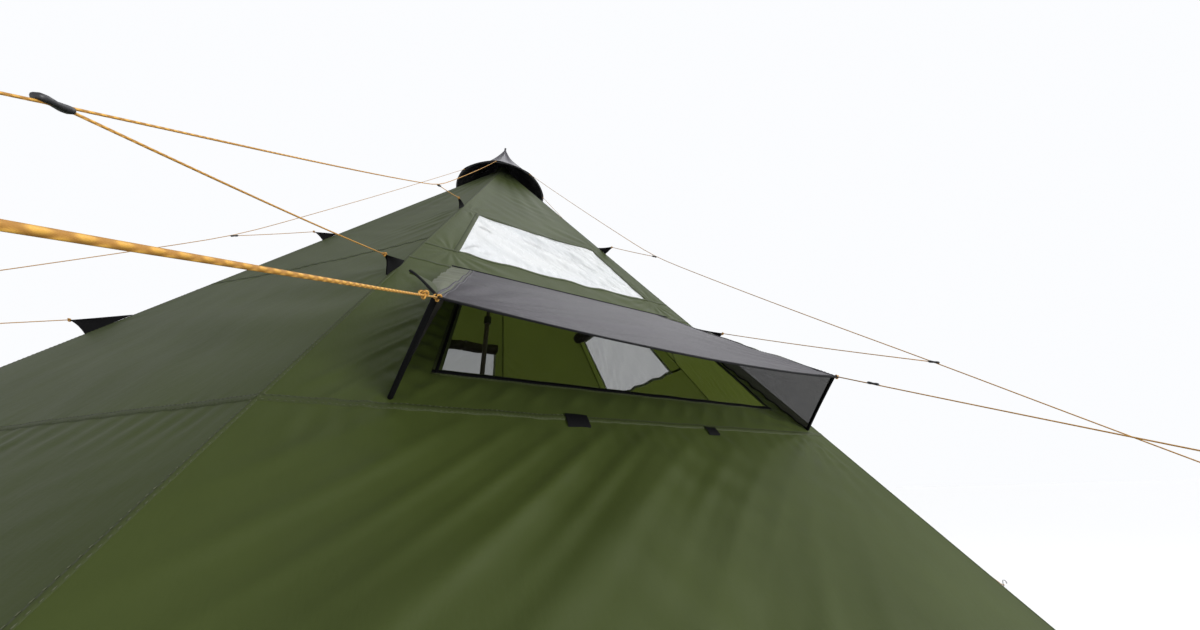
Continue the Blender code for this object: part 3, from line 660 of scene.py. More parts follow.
def tube(path, radius, sides=8, closed=False):
    """Points, faces and face-corner UV (metres along, turns round) of a tube round a line."""
    path = np.asarray(path, float)
    count = len(path)
    if closed:
        tangent = np.roll(path, -1, 0) - np.roll(path, 1, 0)
    else:
        tangent = np.gradient(path, axis=0)
    tangent /= np.linalg.norm(tangent, axis=1)[:, None]
    side = np.cross(tangent[0], (0.31, 0.17, 0.93))
    rings = []
    radius = np.broadcast_to(np.asarray(radius, float), count)
    turn = np.arange(sides) * 2 * math.pi / sides
    for place, along, size in zip(path, tangent, radius):
        side = side - along * np.dot(side, along)
        side /= np.linalg.norm(side)
        other = np.cross(along, side)
        rings.append(place + size * (np.cos(turn)[:, None] * side + np.sin(turn)[:, None] * other))
    points = np.concatenate(rings)
    length = run_length(path)
    faces, uv = [], []
    for ring in range(count if closed else count - 1):
        after = (ring + 1) % count
        here, there = length[ring], length[ring + 1] if ring + 1 < count else length[-1] + CLOSING_STEP
        for k in range(sides):
            after_k = (k + 1) % sides
            faces.append((ring * sides + k, ring * sides + after_k, after * sides + after_k,
                          after * sides + k))
            low, high = k / sides, (k + 1) / sides
            uv += [(here, low), (here, high), (there, high), (there, low)]
    if not closed:
        points = np.concatenate([points, path[:1], path[-1:]])
        last = (count - 1) * sides
        for k in range(sides):
            after_k = (k + 1) % sides
            faces.append((count * sides, after_k, k))
            faces.append((count * sides + 1, last + k, last + after_k))
            uv += [(0, 0.5), (0, 1), (0, 0), (length[-1], 0.5), (length[-1], 0), (length[-1], 1)]
    return points, faces, uv


print("a short tube has", len(tube([(0, 0, 0), (0, 0, 1), (0, 0, 2)], 0.1)[1]), "faces")

# %% Strips gathered into one piece
class Gathered:
    """Strips and shapes gathered into one mesh, with face-corner UV."""

    def __init__(self):
        self.points, self.faces, self.uv, self.count = [], [], [], 0

    def add(self, points, faces, uv):
        points = np.asarray(points, float).reshape(-1, 3)
        self.points.append(points)
        self.faces += [[corner + self.count for corner in face] for face in faces]
        self.uv.append(np.asarray(uv, float).reshape(-1, 2))
        self.count += len(points)

    def strip(self, rows):
        """A grid of points, rows along the strip and columns across it."""
        rows = np.asarray(rows, float)
        down, across = rows.shape[:2]
        faces = grid(down, across)
        along = run_length(rows[:, across // 2])
        wide = np.linalg.norm(rows[:, 1:] - rows[:, :-1], axis=2).mean(0)
        wide = np.concatenate([[0], np.cumsum(wide)])
        flat = np.stack(np.meshgrid(along, wide, indexing="ij"), axis=-1).reshape(-1, 2)[:, ::-1]
        self.add(rows, faces, flat[np.asarray(faces).ravel()])

    def piece(self, name, finish):
        return make(name, np.concatenate(self.points), self.faces, finish, np.concatenate(self.uv))


print("helpers for pieces ready")

# %% Strips that lie on a panel
STRIP_ACROSS = np.array([-0.5, -0.42, 0, 0.42, 0.5])
STRIP_TUCK, STRIP_CROWN = 0.0004, 1.15


def strip_rows(line, width, thick, lift):
    """Spots across a strip that follows a line, and how far each stands off the cloth."""
    tangent = np.gradient(line, axis=0)
    tangent /= np.linalg.norm(tangent, axis=1)[:, None]
    left = np.stack([-tangent[:, 1], tangent[:, 0]], axis=1)
    spots = line[:, None] + (STRIP_ACROSS * width)[None, :, None] * left[:, None]
    raised = np.array([-STRIP_TUCK, thick, thick * STRIP_CROWN, thick, -STRIP_TUCK]) + lift
    return spots, raised[None, :]


def ribbon_rows(index, path, width, thick, lift=0.0):
    """Rows of a flat strip on a panel, along a path of (across, height) points."""
    spots, raised = strip_rows(np.asarray(path, float) * (1, SLANT), width, thick, lift)
    return on_cloth(index, spots[..., 0], spots[..., 1] / SLANT, raised)


def level_line(height, left=-1.0, right=1.0, past=0.0):
    """A level line over a panel between two shares of its half width, or a little past them."""
    reach = half_width(height)
    return walk([(left * reach - past, height), (right * reach + past, height)])


def share_line(share, low, high):
    """A line down a panel at one share of its half width."""
    heights = np.linspace(high, low, max(3, round((high - low) / 0.012)))
    return np.stack([share * half_width(heights), heights], axis=1)


def opening_edges(opening, past=0.0):
    """The sides, foot and top of an opening, each as a line and the way out of the opening."""
    left, right, foot, top = opening
    sides = [(share_line(share, foot - past, top + past), (way, 0))
             for share, way in ((left, -1), (right, 1))]
    return sides + [(level_line(height, left, right), (0, way))
                    for height, way in ((foot, -1), (top, 1))]


def ridge_rows(index, width, thick, low, high):
    """Rows of a strip folded over the ridge to the left of a panel."""
    heights = np.linspace(high, low, round((high - low) / 0.02))
    edge = half_width(heights)
    outward = flat_point(index, -edge, heights, 0) * (1, 1, 0)
    outward /= np.linalg.norm(outward, axis=1)[:, None]
    before = (index - 1) % SIDES
    inner, rim = width * 0.40, width * 0.5
    return np.stack([
        on_cloth(before, edge - rim, heights, -STRIP_TUCK),
        on_cloth(before, edge - inner, heights, thick),
        on_cloth(index, -edge, heights, 0) + outward * thick * 1.6,
        on_cloth(index, -edge + inner, heights, thick),
        on_cloth(index, -edge + rim, heights, -STRIP_TUCK)], axis=1)


print("a ridge strip has", len(ridge_rows(FRONT, 0.02, 0.001, FLY_FOOT, FLY_TOP)), "rows")

# %% [markdown]
# Taut guylines run from the rim of the cap down to the pegs, one over each ridge. Short legs tie
# each of them to black tabs sewn on the ridge, which pulls the panels tight. A rope under
# tension is nearly straight, so each span sags by well under a hundredth of its length. It is
# drawn as a thin tube that carries its own UV map for the braid.

# %% Rope sizes and places
ROPE_RADIUS = 0.0015
CAP_RIM_RADIUS, HOOP_HEIGHT = 0.360, 3.000
HOOP_GAP, HOOP_DROP = 0.0004, 0.003
UPPER_JUNCTION = (1.37996, 1.745)
LOWER_JUNCTION = (2.27009, 0.965)
RIDGE_PEG_RADIUS = CORNER_RADIUS + 0.86
AWNING_PEG = (1.10, -3.80)
UPPER_TAB_REACH, LOWER_TAB_REACH = 0.075, 0.085
UPPER_TAB_LENGTH, LOWER_TAB_LENGTH = 0.070, 0.100
PEG_RADIUS, PEG_LEAN = 0.0035, math.radians(20)
LOOP_RADIUS, LOOP_HEIGHT = 0.0085, 0.018
SPAN_SAG, SPAN_STEP = 0.006, 0.09
AWNING_TILT, AWNING_OFF_PANEL = math.radians(19.2), 0.0034
AWNING_CORNER = (0.526, 0.707)
EAR_TIP = (0.568, 0.528)
AWNING_KNOT_DROP, AWNING_RUNNER_SHARE = 0.010, 0.040


def ridge_place(ridge, radius, height):
    """A point in the upright plane of a ridge."""
    angle = ridge_angle(ridge)
    return np.array([math.cos(angle) * radius, math.sin(angle) * radius, height])


def peg_axes(foot, away):
    """The axes of a peg that leans away from the tent."""
    return (Matrix.Translation(foot) @ Matrix.Rotation(away, 4, "Z")
            @ Matrix.Rotation(PEG_LEAN, 4, "Y"))


def sagging(points):
    """A rope through points in turn, each span with a small sag, its corners gently rounded."""
    out = [np.asarray(points[0], float)[None]]
    for start, end in zip(points[:-1], points[1:]):
        start, end = np.asarray(start, float), np.asarray(end, float)
        span = np.linalg.norm(end - start)
        share = np.linspace(0, 1, max(9, math.ceil(span / SPAN_STEP)))[1:, None]
        hang = np.array([0, 0, -4 * SPAN_SAG * span]) * share * (1 - share)
        out.append(start + (end - start) * share + hang)
    path = np.concatenate(out)
    for _ in range(2):
        path[1:-1] = path[1:-1] * 0.5 + (path[:-2] + path[2:]) * 0.25
    return path


def awning_point(index, across, drop, lift=0.0):
    """World points on an awning: metres across, metres down from its seam, metres off it."""
    across, drop, lift = np.broadcast_arrays(
        *(np.asarray(value, float) for value in (across, drop, lift)))
    along, upward, normal = panel_axes(index)
    down = math.sin(AWNING_TILT) * normal - math.cos(AWNING_TILT) * upward
    off = math.cos(AWNING_TILT) * normal + math.sin(AWNING_TILT) * upward
    return (flat_point(index, 0, AWNING_SEAM, AWNING_OFF_PANEL) + across[..., None] * along
            + drop[..., None] * down + lift[..., None] * off)


print("upper junction", ridge_place(0, *UPPER_JUNCTION).round(3).tolist())

# %% Ridge guylines and their legs
peg_places, knot_places, loop_places, runner_places, tab_corners = [], [], [], [], []


def turned(place, along):
    """A place and a turn whose local X axis looks along a direction."""
    turn = Vector(along).to_track_quat("X", "Z").to_matrix().to_4x4()
    return Matrix.Translation(Vector(place)) @ turn


def rope(name, points, stands_for=(), body="tent"):
    """A rope through some points; without a body it is not attached to one."""
    path = sagging(points)
    tube_points, faces, uv = tube(path, ROPE_RADIUS)
    piece = make(name, tube_points, faces, ROPE, uv)
    if body:
        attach(piece, body)
    if stands_for:
        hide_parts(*stands_for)
    float(run_length(path)[-1])
    return piece


def peg_loop(foot, away):
    """Sets a peg and the rope loop on it, and gives the point where the rope leaves the loop."""
    axes = peg_axes(foot, away)
    ring = Vector((-(LOOP_RADIUS - ROPE_RADIUS - PEG_RADIUS), 0, LOOP_HEIGHT))
    peg_places.append(axes)
    loop_places.append(axes @ Matrix.Translation(ring))
    return np.array(axes @ (ring - Vector((LOOP_RADIUS, 0, 0))))


for ridge in range(SIDES):
    number = ridge + 1
    upper, lower = ridge_place(ridge, *UPPER_JUNCTION), ridge_place(ridge, *LOWER_JUNCTION)
    start = ridge_place(ridge, CAP_RIM_RADIUS + ROPE_RADIUS + HOOP_GAP, HOOP_HEIGHT - HOOP_DROP)
    loop_end = peg_loop(ridge_place(ridge, RIDGE_PEG_RADIUS, 0), ridge_angle(ridge))
    rope(f"guyline_{number}", [start, upper, lower, loop_end], (f"ridge_guyline_{number}",))
    tabs = (("upper", UPPER_TAB, UPPER_TAB_REACH, UPPER_TAB_LENGTH, upper),
            ("lower", LOWER_TAB, LOWER_TAB_REACH, LOWER_TAB_LENGTH, lower))
    for name, middle, reach, length, junction in tabs:
        tip = ridge_place(ridge, RIDGE_SLOPE * (APEX - middle) + reach, middle - length / 8)
        tab_corners.append((ridge, middle, length, tip))
        rope(f"guyline_leg_{name}_{number}", [tip, junction])
        knot_places.append(turned(tip, junction - tip))
        runner_places.append(turned(junction, junction - tip))
    knot_places.append(turned(start, upper - start))
print("ridge guylines", SIDES, "legs", 2 * SIDES)

# %% [markdown]
# Each awning is pulled down and out by two ropes with pegs of their own. One end of such a rope
# stays with the ground and the other end moves with the awning, so it can't ride on one body:
# it is left unattached, with its points baked in place.

# %% Awning guylines
for index, end_name in ENDS:
    for side in (-1, 1):
        side_name = side_named(index, side)
        corner = awning_point(index, side * AWNING_CORNER[0], AWNING_CORNER[1] + AWNING_KNOT_DROP)
        facing = 1 if index == FRONT else -1
        foot = np.array([side * AWNING_PEG[0] * facing, AWNING_PEG[1] * facing, 0])
        away = math.atan2(foot[1] - corner[1], foot[0] - corner[0])
        loop_end = peg_loop(foot, away)
        line = rope(f"awning_line_{end_name}_{side_name}", [corner, loop_end],
                    (f"awning_guyline_{end_name}_{side_name}",), body=None)
        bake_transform(line)
        knot_places.append(turned(corner, loop_end - corner))
        # One of the two ropes is held by a second knot, the other by a runner.
        slid = corner + (loop_end - corner) * AWNING_RUNNER_SHARE
        (knot_places if side < 0 else runner_places).append(turned(slid, loop_end - corner))
print("pegs", len(peg_places), "knots", len(knot_places), "runners", len(runner_places))

# %% [markdown]
# Pegs, knots, runners and stitches are the same shape many times over. A Geometry Nodes tree
# sets a copy of one shape on every point of a mesh, turned as the point says, and the copies
# are made real so that the piece is one plain mesh in the end.

# %% Helpers for geometry trees
def new_tree(name, inputs):
    """A geometry tree with a mesh and a finish to start from, and inputs (name, kind, value)."""
    tree = bpy.data.node_groups.new(name, "GeometryNodeTree")
    ends = (("Geometry", "Geometry", None), *inputs, ("Finish", "Material", None))
    for label, kind, value in ends:
        socket = tree.interface.new_socket(label, in_out="INPUT", socket_type="NodeSocket" + kind)
        if value is not None:
            socket.default_value = value
    tree.interface.new_socket("Geometry", in_out="OUTPUT", socket_type="NodeSocketGeometry")
    return tree


def end_tree(tree, given, copies):
    """Makes the copies real, gives them the finish and hands them out."""
    add, join = tree.nodes.new, tree.links.new
    real, finish = add("GeometryNodeRealizeInstances"), add("GeometryNodeSetMaterial")
    join(copies.outputs["Instances"], real.inputs["Geometry"])
    join(real.outputs["Geometry"], finish.inputs["Geometry"])
    join(given.outputs["Finish"], finish.inputs["Material"])
    join(finish.outputs["Geometry"], add("NodeGroupOutput").inputs["Geometry"])
    return tree


def run_tree(name, base, tree, finish, **values):
    """Gives a mesh the tree with these inputs, and keeps the plain mesh that comes out."""
    carrier = linked(name + "_base", base)
    modifier = carrier.modifiers.new("repeat", "NODES")
    modifier.node_group = tree
    values["Finish"] = finish
    for socket in tree.interface.items_tree:
        if socket.item_type == "SOCKET" and socket.in_out == "INPUT" and socket.name in values:
            modifier[socket.identifier] = values[socket.name]
    bpy.context.view_layer.update()
    seen = carrier.evaluated_get(bpy.context.evaluated_depsgraph_get())
    mesh = bpy.data.meshes.new_from_object(seen)
    mesh.name = name
    carrier.modifiers.remove(modifier)
    bpy.data.objects.remove(carrier)
    if not mesh.materials:
        mesh.materials.append(finish)
    mesh.shade_smooth()
    return linked(name, mesh)


print("tree helpers ready")

# %% A tree that repeats a shape at points
def repeat_tree():
    """Sets a shape on every point, turned by the point's own angles."""
    tree = new_tree("repeat_at_points", (("Shape", "Object", None), ("Size", "Float", 1.0)))
    add, join = tree.nodes.new, tree.links.new
    given, shape = add("NodeGroupInput"), add("GeometryNodeObjectInfo")
    turn, euler = add("GeometryNodeInputNamedAttribute"), add("FunctionNodeEulerToRotation")
    turn.data_type = "FLOAT_VECTOR"
    turn.inputs["Name"].default_value = "turn"
    copies = add("GeometryNodeInstanceOnPoints")
    join(given.outputs["Geometry"], copies.inputs["Points"])
    join(given.outputs["Shape"], shape.inputs["Object"])
    join(shape.outputs["Geometry"], copies.inputs["Instance"])
    join(turn.outputs["Attribute"], euler.inputs["Euler"])
    join(euler.outputs["Rotation"], copies.inputs["Rotation"])
    join(given.outputs["Size"], copies.inputs["Scale"])
    return end_tree(tree, given, copies)


REPEAT = repeat_tree()


def repeated(name, shape, places, finish, size=1.0):
    """One mesh with a copy of the shape at each place."""
    base = bpy.data.meshes.new(name + "_places")
    base.from_pydata([tuple(place.to_translation()) for place in places], [], [])
    turn = base.attributes.new("turn", "FLOAT_VECTOR", "POINT")
    turn.data.foreach_set("vector", [angle for place in places for angle in place.to_euler()])
    piece = run_tree(name, base, REPEAT, finish, Shape=shape, Size=size)
    bpy.data.objects.remove(shape)
    return piece


print("tree inputs", [socket.name for socket in REPEAT.interface.items_tree])

# %% [markdown]
# Steel pegs hold the corners of the wall and the ends of the ropes. A peg is a pointed shaft
# with a hooked head. It could be turned and bent from a cylinder, but a tube along a bent line,
# with its own radius at each point, gives the point and the hook in one go.

# %% Pegs
PEG_DEPTH, PEG_HEAD, PEG_HOOK = 0.200, 0.035, 0.012
PEG_POINT, PEG_SHOULDER = 0.012, 0.030
PEG_POINT_RADII = [0.0008, 0.0024]
CORNER_PEG_GAP = 0.055


def peg_shape():
    """A pointed shaft that ends in a hook."""
    levels = (-PEG_DEPTH, -PEG_DEPTH + PEG_POINT, -PEG_DEPTH + PEG_SHOULDER, -0.06, -0.02, 0.02)
    bend = [(PEG_HOOK * (1 - math.cos(angle)), 0, PEG_HEAD + PEG_HOOK * math.sin(angle))
            for angle in np.radians(range(0, 200, 15))]
    path = [(0, 0, level) for level in levels] + bend
    radius = PEG_POINT_RADII + [PEG_RADIUS] * (len(path) - 3) + [PEG_RADIUS * 0.8]
    points, faces, uv = tube(path, radius, 10)
    return make("peg_shape", points, faces, STEEL, uv)


corner_pegs = [peg_axes(ridge_place(ridge, CORNER_RADIUS + CORNER_PEG_GAP, 0), ridge_angle(ridge))
               for ridge in range(SIDES)]
pegs = repeated("ground_pegs", peg_shape(), peg_places + corner_pegs, STEEL)
dress(pegs, "tent", [f"ridge_peg_{n + 1}" for n in range(SIDES)] + [
    f"awning_peg_{end}_{side}" for end in ("front", "back") for side in ("left", "right")])
print("pegs", len(peg_places) + len(corner_pegs), "faces", len(pegs.data.polygons))

# %% Knots and peg loops
KNOT_SIZE = 0.0019


def closed_rope(name, across, up, along):
    """A closed loop of rope through a ring of points."""
    points, faces, uv = tube(np.stack([across, up, along], axis=1), ROPE_RADIUS, 6, closed=True)
    return make(name, points, faces, ROPE, uv)


def knot_shape():
    """A trefoil, which looks like an overhand knot when it is small."""
    angle = np.linspace(0, 2 * math.pi, 30, endpoint=False)
    return closed_rope("knot_shape", -np.sin(3 * angle) * 1.3 * KNOT_SIZE,
                       (np.sin(angle) + 2 * np.sin(2 * angle)) * KNOT_SIZE,
                       (np.cos(angle) - 2 * np.cos(2 * angle)) * KNOT_SIZE)


def loop_shape():
    angle = np.linspace(0, 2 * math.pi, 24, endpoint=False)
    return closed_rope("loop_shape", np.cos(angle) * LOOP_RADIUS, np.sin(angle) * LOOP_RADIUS,
                       0 * angle)


dress(repeated("rope_knots", knot_shape(), knot_places, ROPE))
dress(repeated("peg_loops", loop_shape(), loop_places, ROPE))
print("knots", len(knot_places), "peg loops", len(loop_places))

# %% Runners
RUNNER_LENGTH, RUNNER_WIDTH, RUNNER_THICK, RUNNER_SIDES = 0.026, 0.011, 0.007, 10
# How far along the runner each ring lies, and its share of the full size.
RUNNER_RINGS = ((-0.5, 0.55), (-0.44, 0.9), (-0.3, 1.0), (0, 0.72), (0.3, 1.0), (0.44, 0.9), (0.5, 0.55))


def runner_shape():
    """A small waisted bar that the rope is threaded through, rounded at its edges."""
    turn = np.arange(RUNNER_SIDES) * 2 * math.pi / RUNNER_SIDES
    ring = np.stack([np.sign(np.cos(turn)) * np.abs(np.cos(turn)) ** 0.6 * RUNNER_WIDTH / 2,
                     np.sign(np.sin(turn)) * np.abs(np.sin(turn)) ** 0.6 * RUNNER_THICK / 2], axis=1)
    points = [(along * RUNNER_LENGTH, y * size, z * size) for along, size in RUNNER_RINGS
              for y, z in ring]
    faces = []
    for first in range(0, len(points) - RUNNER_SIDES, RUNNER_SIDES):
        for k in range(RUNNER_SIDES):
            after = (k + 1) % RUNNER_SIDES
            faces.append((first + k, first + after, first + RUNNER_SIDES + after,
                          first + RUNNER_SIDES + k))
    faces.append(tuple(range(RUNNER_SIDES - 1, -1, -1)))
    faces.append(tuple(range(len(points) - RUNNER_SIDES, len(points))))
    return make("runner_shape", points, faces, PLASTIC)


dress(repeated("rope_runners", runner_shape(), runner_places, PLASTIC))
print("runners", len(runner_places))

# %% [markdown]
# The fly is eight tall cloth panels. Each is one sheet with its window and door openings cut
# out, and its grid lines run along the edges of the openings so that they stay crisp. A cloth
# simulation could drape them, but a pitched tent is pulled taut, and a function of the place on
# the panel gives the same folds each time the script runs.

# %% Fly panels
COLUMNS = 240
# Bands of rows down a panel: top, foot and how many rows, closer where the folds are.
BANDS = ((FLY_TOP, 1.95, 56), (1.95, 1.30, 76), (1.30, 0.50, 116), (0.50, FLY_FOOT, 44))
CUT_WIDTH = half_width(FLY_TOP) + half_width(FLY_FOOT)


def with_edges(steps, edges):
    """Moves the nearest step onto each edge, so that the grid follows the openings."""
    for edge in edges:
        steps[np.argmin(np.abs(steps - edge))] = edge
    return steps


def panel_levels(fine):
    """Row heights from top to foot, a third fewer where the camera doesn't look closely."""
    rows = [np.linspace(high, low, (count if fine else count * 2 // 3) + 1)[:-1]
            for high, low, count in BANDS]
    return np.concatenate(rows + [[FLY_FOOT]])


def panel_openings(index):
    """Every other panel has a roof window, and a net window or a door below it."""
    if index % 2:
        return []
    return [ROOF_WINDOW, NET_WINDOW if index in (FRONT, BACK) else DOORWAY]


def cut_area(openings):
    """The area of cloth in a panel without its openings."""
    area = CUT_WIDTH * SLANT * (FLY_TOP - FLY_FOOT)
    for left, right, foot, top in openings:
        area -= (right - left) * half_width((foot + top) / 2) * (top - foot) * SLANT
    return area


for index, panel_name in enumerate(PANELS):
    openings = panel_openings(index)
    fine = index in (FRONT, BACK) or index % 4 == 3
    columns = COLUMNS if fine else COLUMNS // 2
    shares = with_edges(np.linspace(-1, 1, columns + 1), [edge for o in openings for edge in o[:2]])
    heights = with_edges(panel_levels(fine),
                         [edge for o in openings for edge in o[2:]] + [WALL_SEAM, ROOF_SEAM])
    share, height = np.meshgrid(shares, heights)
    across = share * half_width(height)
    keep = np.ones((len(heights) - 1, columns), bool)
    for left, right, foot, top in openings:
        inside = (height < top + 1e-9) & (height > foot + 1e-9) & (share > left - 1e-9) & (
            share < right - 1e-9)
        keep &= ~inside[:-1, :-1]
    panel = make(f"panel_{panel_name}", on_cloth(index, across, height),
                 grid(len(heights), columns + 1, keep), FLY,
                 np.stack([across, SLANT * height], axis=-1))
    dress(panel, "tent", (f"fly_panel_{panel_name}",))
    cut_area(openings)

# %% [markdown]
# Seams hold the panels together: flat-felled seams fold over the ridges, and doubled bands run
# round the tent at the wall seam and at the roof seam. They are narrow strips, a little thicker
# than the cloth, that ask the same relief function for their place.

# %% Seams and hems of the fly
SEAM_WIDTH, SEAM_THICK = 0.016, 0.0011
RIDGE_SEAM_WIDTH, RIDGE_SEAM_THICK = 0.011, 0.0006
HEM_WIDTH = 0.024
OPENING_HEM, OPENING_HEM_PAST = 0.020, 0.009
seams = Gathered()
for index in range(SIDES):
    seams.strip(ridge_rows(index, RIDGE_SEAM_WIDTH, RIDGE_SEAM_THICK, FLY_FOOT, FLY_TOP))
    levels = [(WALL_SEAM, SEAM_WIDTH), (FLY_FOOT + HEM_WIDTH / 2, HEM_WIDTH),
              (ROOF_SEAM if index % 2 else ROOF_WINDOW_FOOT, SEAM_WIDTH)]
    if index in (FRONT, BACK):
        levels.append((AWNING_SEAM, SEAM_WIDTH))
    for level, width in levels:
        seams.strip(ribbon_rows(index, level_line(level), width, SEAM_THICK))
    for opening in panel_openings(index):
        for line, way in opening_edges(opening, OPENING_HEM_PAST):
            seams.strip(ribbon_rows(index, line, OPENING_HEM, SEAM_THICK))
dress(seams.piece("fly_seams", FLY_HEM_AND_PAINTED_SHADE))
print("seam strips", len(seams.points))

# %% [markdown]
# Two rows of thread hold each seam down. A second tree walks along the seam lines, sets a
# short rounded stitch at every step and turns it along the line, with a small random change of
# size, so no stitch is placed by hand.

# %% A tree that sews along lines
STITCH_LENGTH, STITCH_THICK, STITCH_PITCH = 0.0055, 0.0006, 0.0095
STITCH_SEED, SMALLEST_STITCH, LARGEST_STITCH = 7, 0.85, 1.12


def stitch_tree():
    """Sets a bead at every step along lines, stretched and turned along them."""
    tree = new_tree("sew_along_lines", (("Pitch", "Float", STITCH_PITCH),
                                        ("Length", "Float", STITCH_LENGTH),
                                        ("Thread", "Float", STITCH_THICK)))
    add, join = tree.nodes.new, tree.links.new
    given = add("NodeGroupInput")
    lines, spots = add("GeometryNodeMeshToCurve"), add("GeometryNodeCurveToPoints")
    spots.mode = "LENGTH"
    bead, shape = add("GeometryNodeMeshIcoSphere"), add("ShaderNodeCombineXYZ")
    bead.inputs["Radius"].default_value = 1.0
    bead.inputs["Subdivisions"].default_value = 1
    stretched, copies = add("GeometryNodeTransform"), add("GeometryNodeInstanceOnPoints")
    turn, half = add("FunctionNodeAlignRotationToVector"), add("ShaderNodeMath")
    turn.axis = "X"
    half.operation = "MULTIPLY"
    half.inputs[1].default_value = 0.5
    uneven = add("FunctionNodeRandomValue")
    uneven.data_type = "FLOAT"
    uneven.inputs[2].default_value = SMALLEST_STITCH
    uneven.inputs[3].default_value = LARGEST_STITCH
    uneven.inputs["Seed"].default_value = STITCH_SEED
    join(given.outputs["Geometry"], lines.inputs["Mesh"])
    join(lines.outputs["Curve"], spots.inputs["Curve"])
    join(given.outputs["Pitch"], spots.inputs["Length"])
    join(given.outputs["Length"], half.inputs[0])
    join(half.outputs[0], shape.inputs["X"])
    join(given.outputs["Thread"], shape.inputs["Y"])
    join(given.outputs["Thread"], shape.inputs["Z"])
    join(bead.outputs["Mesh"], stretched.inputs["Geometry"])
    join(shape.outputs["Vector"], stretched.inputs["Scale"])
    join(spots.outputs["Points"], copies.inputs["Points"])
    join(spots.outputs["Tangent"], turn.inputs["Vector"])
    join(turn.outputs["Rotation"], copies.inputs["Rotation"])
    join(stretched.outputs["Geometry"], copies.inputs["Instance"])
    join(uneven.outputs[1], copies.inputs["Scale"])
    return end_tree(tree, given, copies)


SEW = stitch_tree()


def sewn(name, lines, thread):
    """One mesh with a row of stitches along each line of points."""
    points, edges = [], []
    for line in lines:
        start = len(points)
        points += np.asarray(line, float).tolist()
        edges += [(start + k, start + k + 1) for k in range(len(line) - 1)]
    base = bpy.data.meshes.new(name + "_lines")
    base.from_pydata(points, edges, [])
    return run_tree(name, base, SEW, thread, Pitch=STITCH_PITCH, Length=STITCH_LENGTH,
                    Thread=STITCH_THICK)


print("a stitch every", STITCH_PITCH * 1000, "mm")

# %% Stitches of the fly
LEVEL_ROW_OUT, RIDGE_ROW_OUT = 0.0052, 0.0036
SIDE_ROW_OUT, END_ROW_OUT = 0.006, 0.005
LEVEL_ROW_LIFT, RIDGE_ROW_LIFT, OPENING_ROW_LIFT = SEAM_THICK + 0.0007, 0.0011, 0.0014


def level_rows(index, height):
    """Two rows of stitches, one above and one below a level seam."""
    line = level_line(height, -0.99, 0.99)
    return [on_cloth(index, line[:, 0], line[:, 1] + side * LEVEL_ROW_OUT / SLANT, LEVEL_ROW_LIFT)
            for side in (-1, 1)]


ridge_stitches, level_stitches, window_stitches = [], [], []
for index in range(SIDES):
    heights = np.linspace(FLY_TOP - 0.02, FLY_FOOT + 0.02, 260)
    for side in (-1, 1):
        edge = side * (half_width(heights) - RIDGE_ROW_OUT)
        ridge_stitches.append(on_cloth(index, edge, heights, RIDGE_ROW_LIFT))
    for level in (WALL_SEAM, ROOF_SEAM) if index % 2 else (WALL_SEAM,):
        level_stitches += level_rows(index, level)
    for opening in panel_openings(index):
        for line, (across, up) in opening_edges(opening):
            row = line + (across * SIDE_ROW_OUT, up * END_ROW_OUT)
            window_stitches.append(on_cloth(index, row[:, 0], row[:, 1], OPENING_ROW_LIFT))
for name, lines in (("ridge_stitches", ridge_stitches), ("level_stitches", level_stitches),
                    ("window_stitches", window_stitches)):
    stitched = sewn(name, lines, THREAD)
    dress(stitched)
    print(name, len(stitched.data.polygons), "faces")

# %% [markdown]
# The roof windows are clear film that has gone cloudy and wrinkled. Each film is a sheet of its
# own behind the opening, a little larger than it, with creases that die out at its sewn edge.
# The creases could be bump alone, but then the sheet itself would be flat, so they are in the
# mesh. A dark blind is rolled up inside, above each window.

# %% Roof window films and rolled blinds
FILM_BEHIND, NET_BEHIND = 0.0018, 0.0012
FILM_CREASE = 0.0064
WINDOW_LAP = 0.012
BLIND_RADIUS, BLIND_GAP, BLIND_FILL = 0.050, 0.005, 0.4
BLIND_TIES, BLIND_TIE_DEPTH, BLIND_TIE_REACH = (-0.6, 0, 0.6), 0.010, 0.008
FILM_GRID, NET_GRID = (120, 80), (60, 30)


def edge_fade(across, height, opening, reach=0.05):
    """Zero at the edges of an opening and one inside it."""
    left, right, foot, top = opening
    side = np.minimum(across / half_width(height) - left, right - across / half_width(height))
    level_gap = np.minimum(height - foot, top - height) * SLANT
    return np.clip(np.minimum(side * half_width(height), level_gap) / reach, 0, 1)


def window_sheet(name, index, opening, finish, stands_for, behind, creased, size):
    """A sheet behind an opening of a panel, creased by a function of across and height."""
    left, right, foot, top = opening
    columns, rows = size
    heights = np.linspace(top + WINDOW_LAP / SLANT, foot - WINDOW_LAP / SLANT, rows + 1)
    share, height = np.meshgrid(np.linspace(0, 1, columns + 1), heights)
    width = half_width(height)
    across = (left * width - WINDOW_LAP) + share * ((right - left) * width + 2 * WINDOW_LAP)
    out = creased(across, height) * edge_fade(across, height, opening) - behind
    sheet = make(name, on_cloth(index, across, height, out), grid(rows + 1, columns + 1), finish,
                 np.stack([across, SLANT * height], axis=-1))
    dress(sheet, "tent", (stands_for,))


def film_creases(across, height):
    """Film is flatter at its left side and crumpled toward its right."""
    toward_right = np.clip(0.35 + across * 1.8, 0.15, 1)
    out = waves(across, height, FILM_CREASE * 0.8, length=0.24, lean=1.1, seed=21)
    out = out + waves(across, height, FILM_CREASE * 0.5, length=0.07, lean=0.7, seed=22) * toward_right
    return out + waves(across, height, FILM_CREASE * 0.22, length=0.024, lean=0.55,
                       seed=23) * toward_right


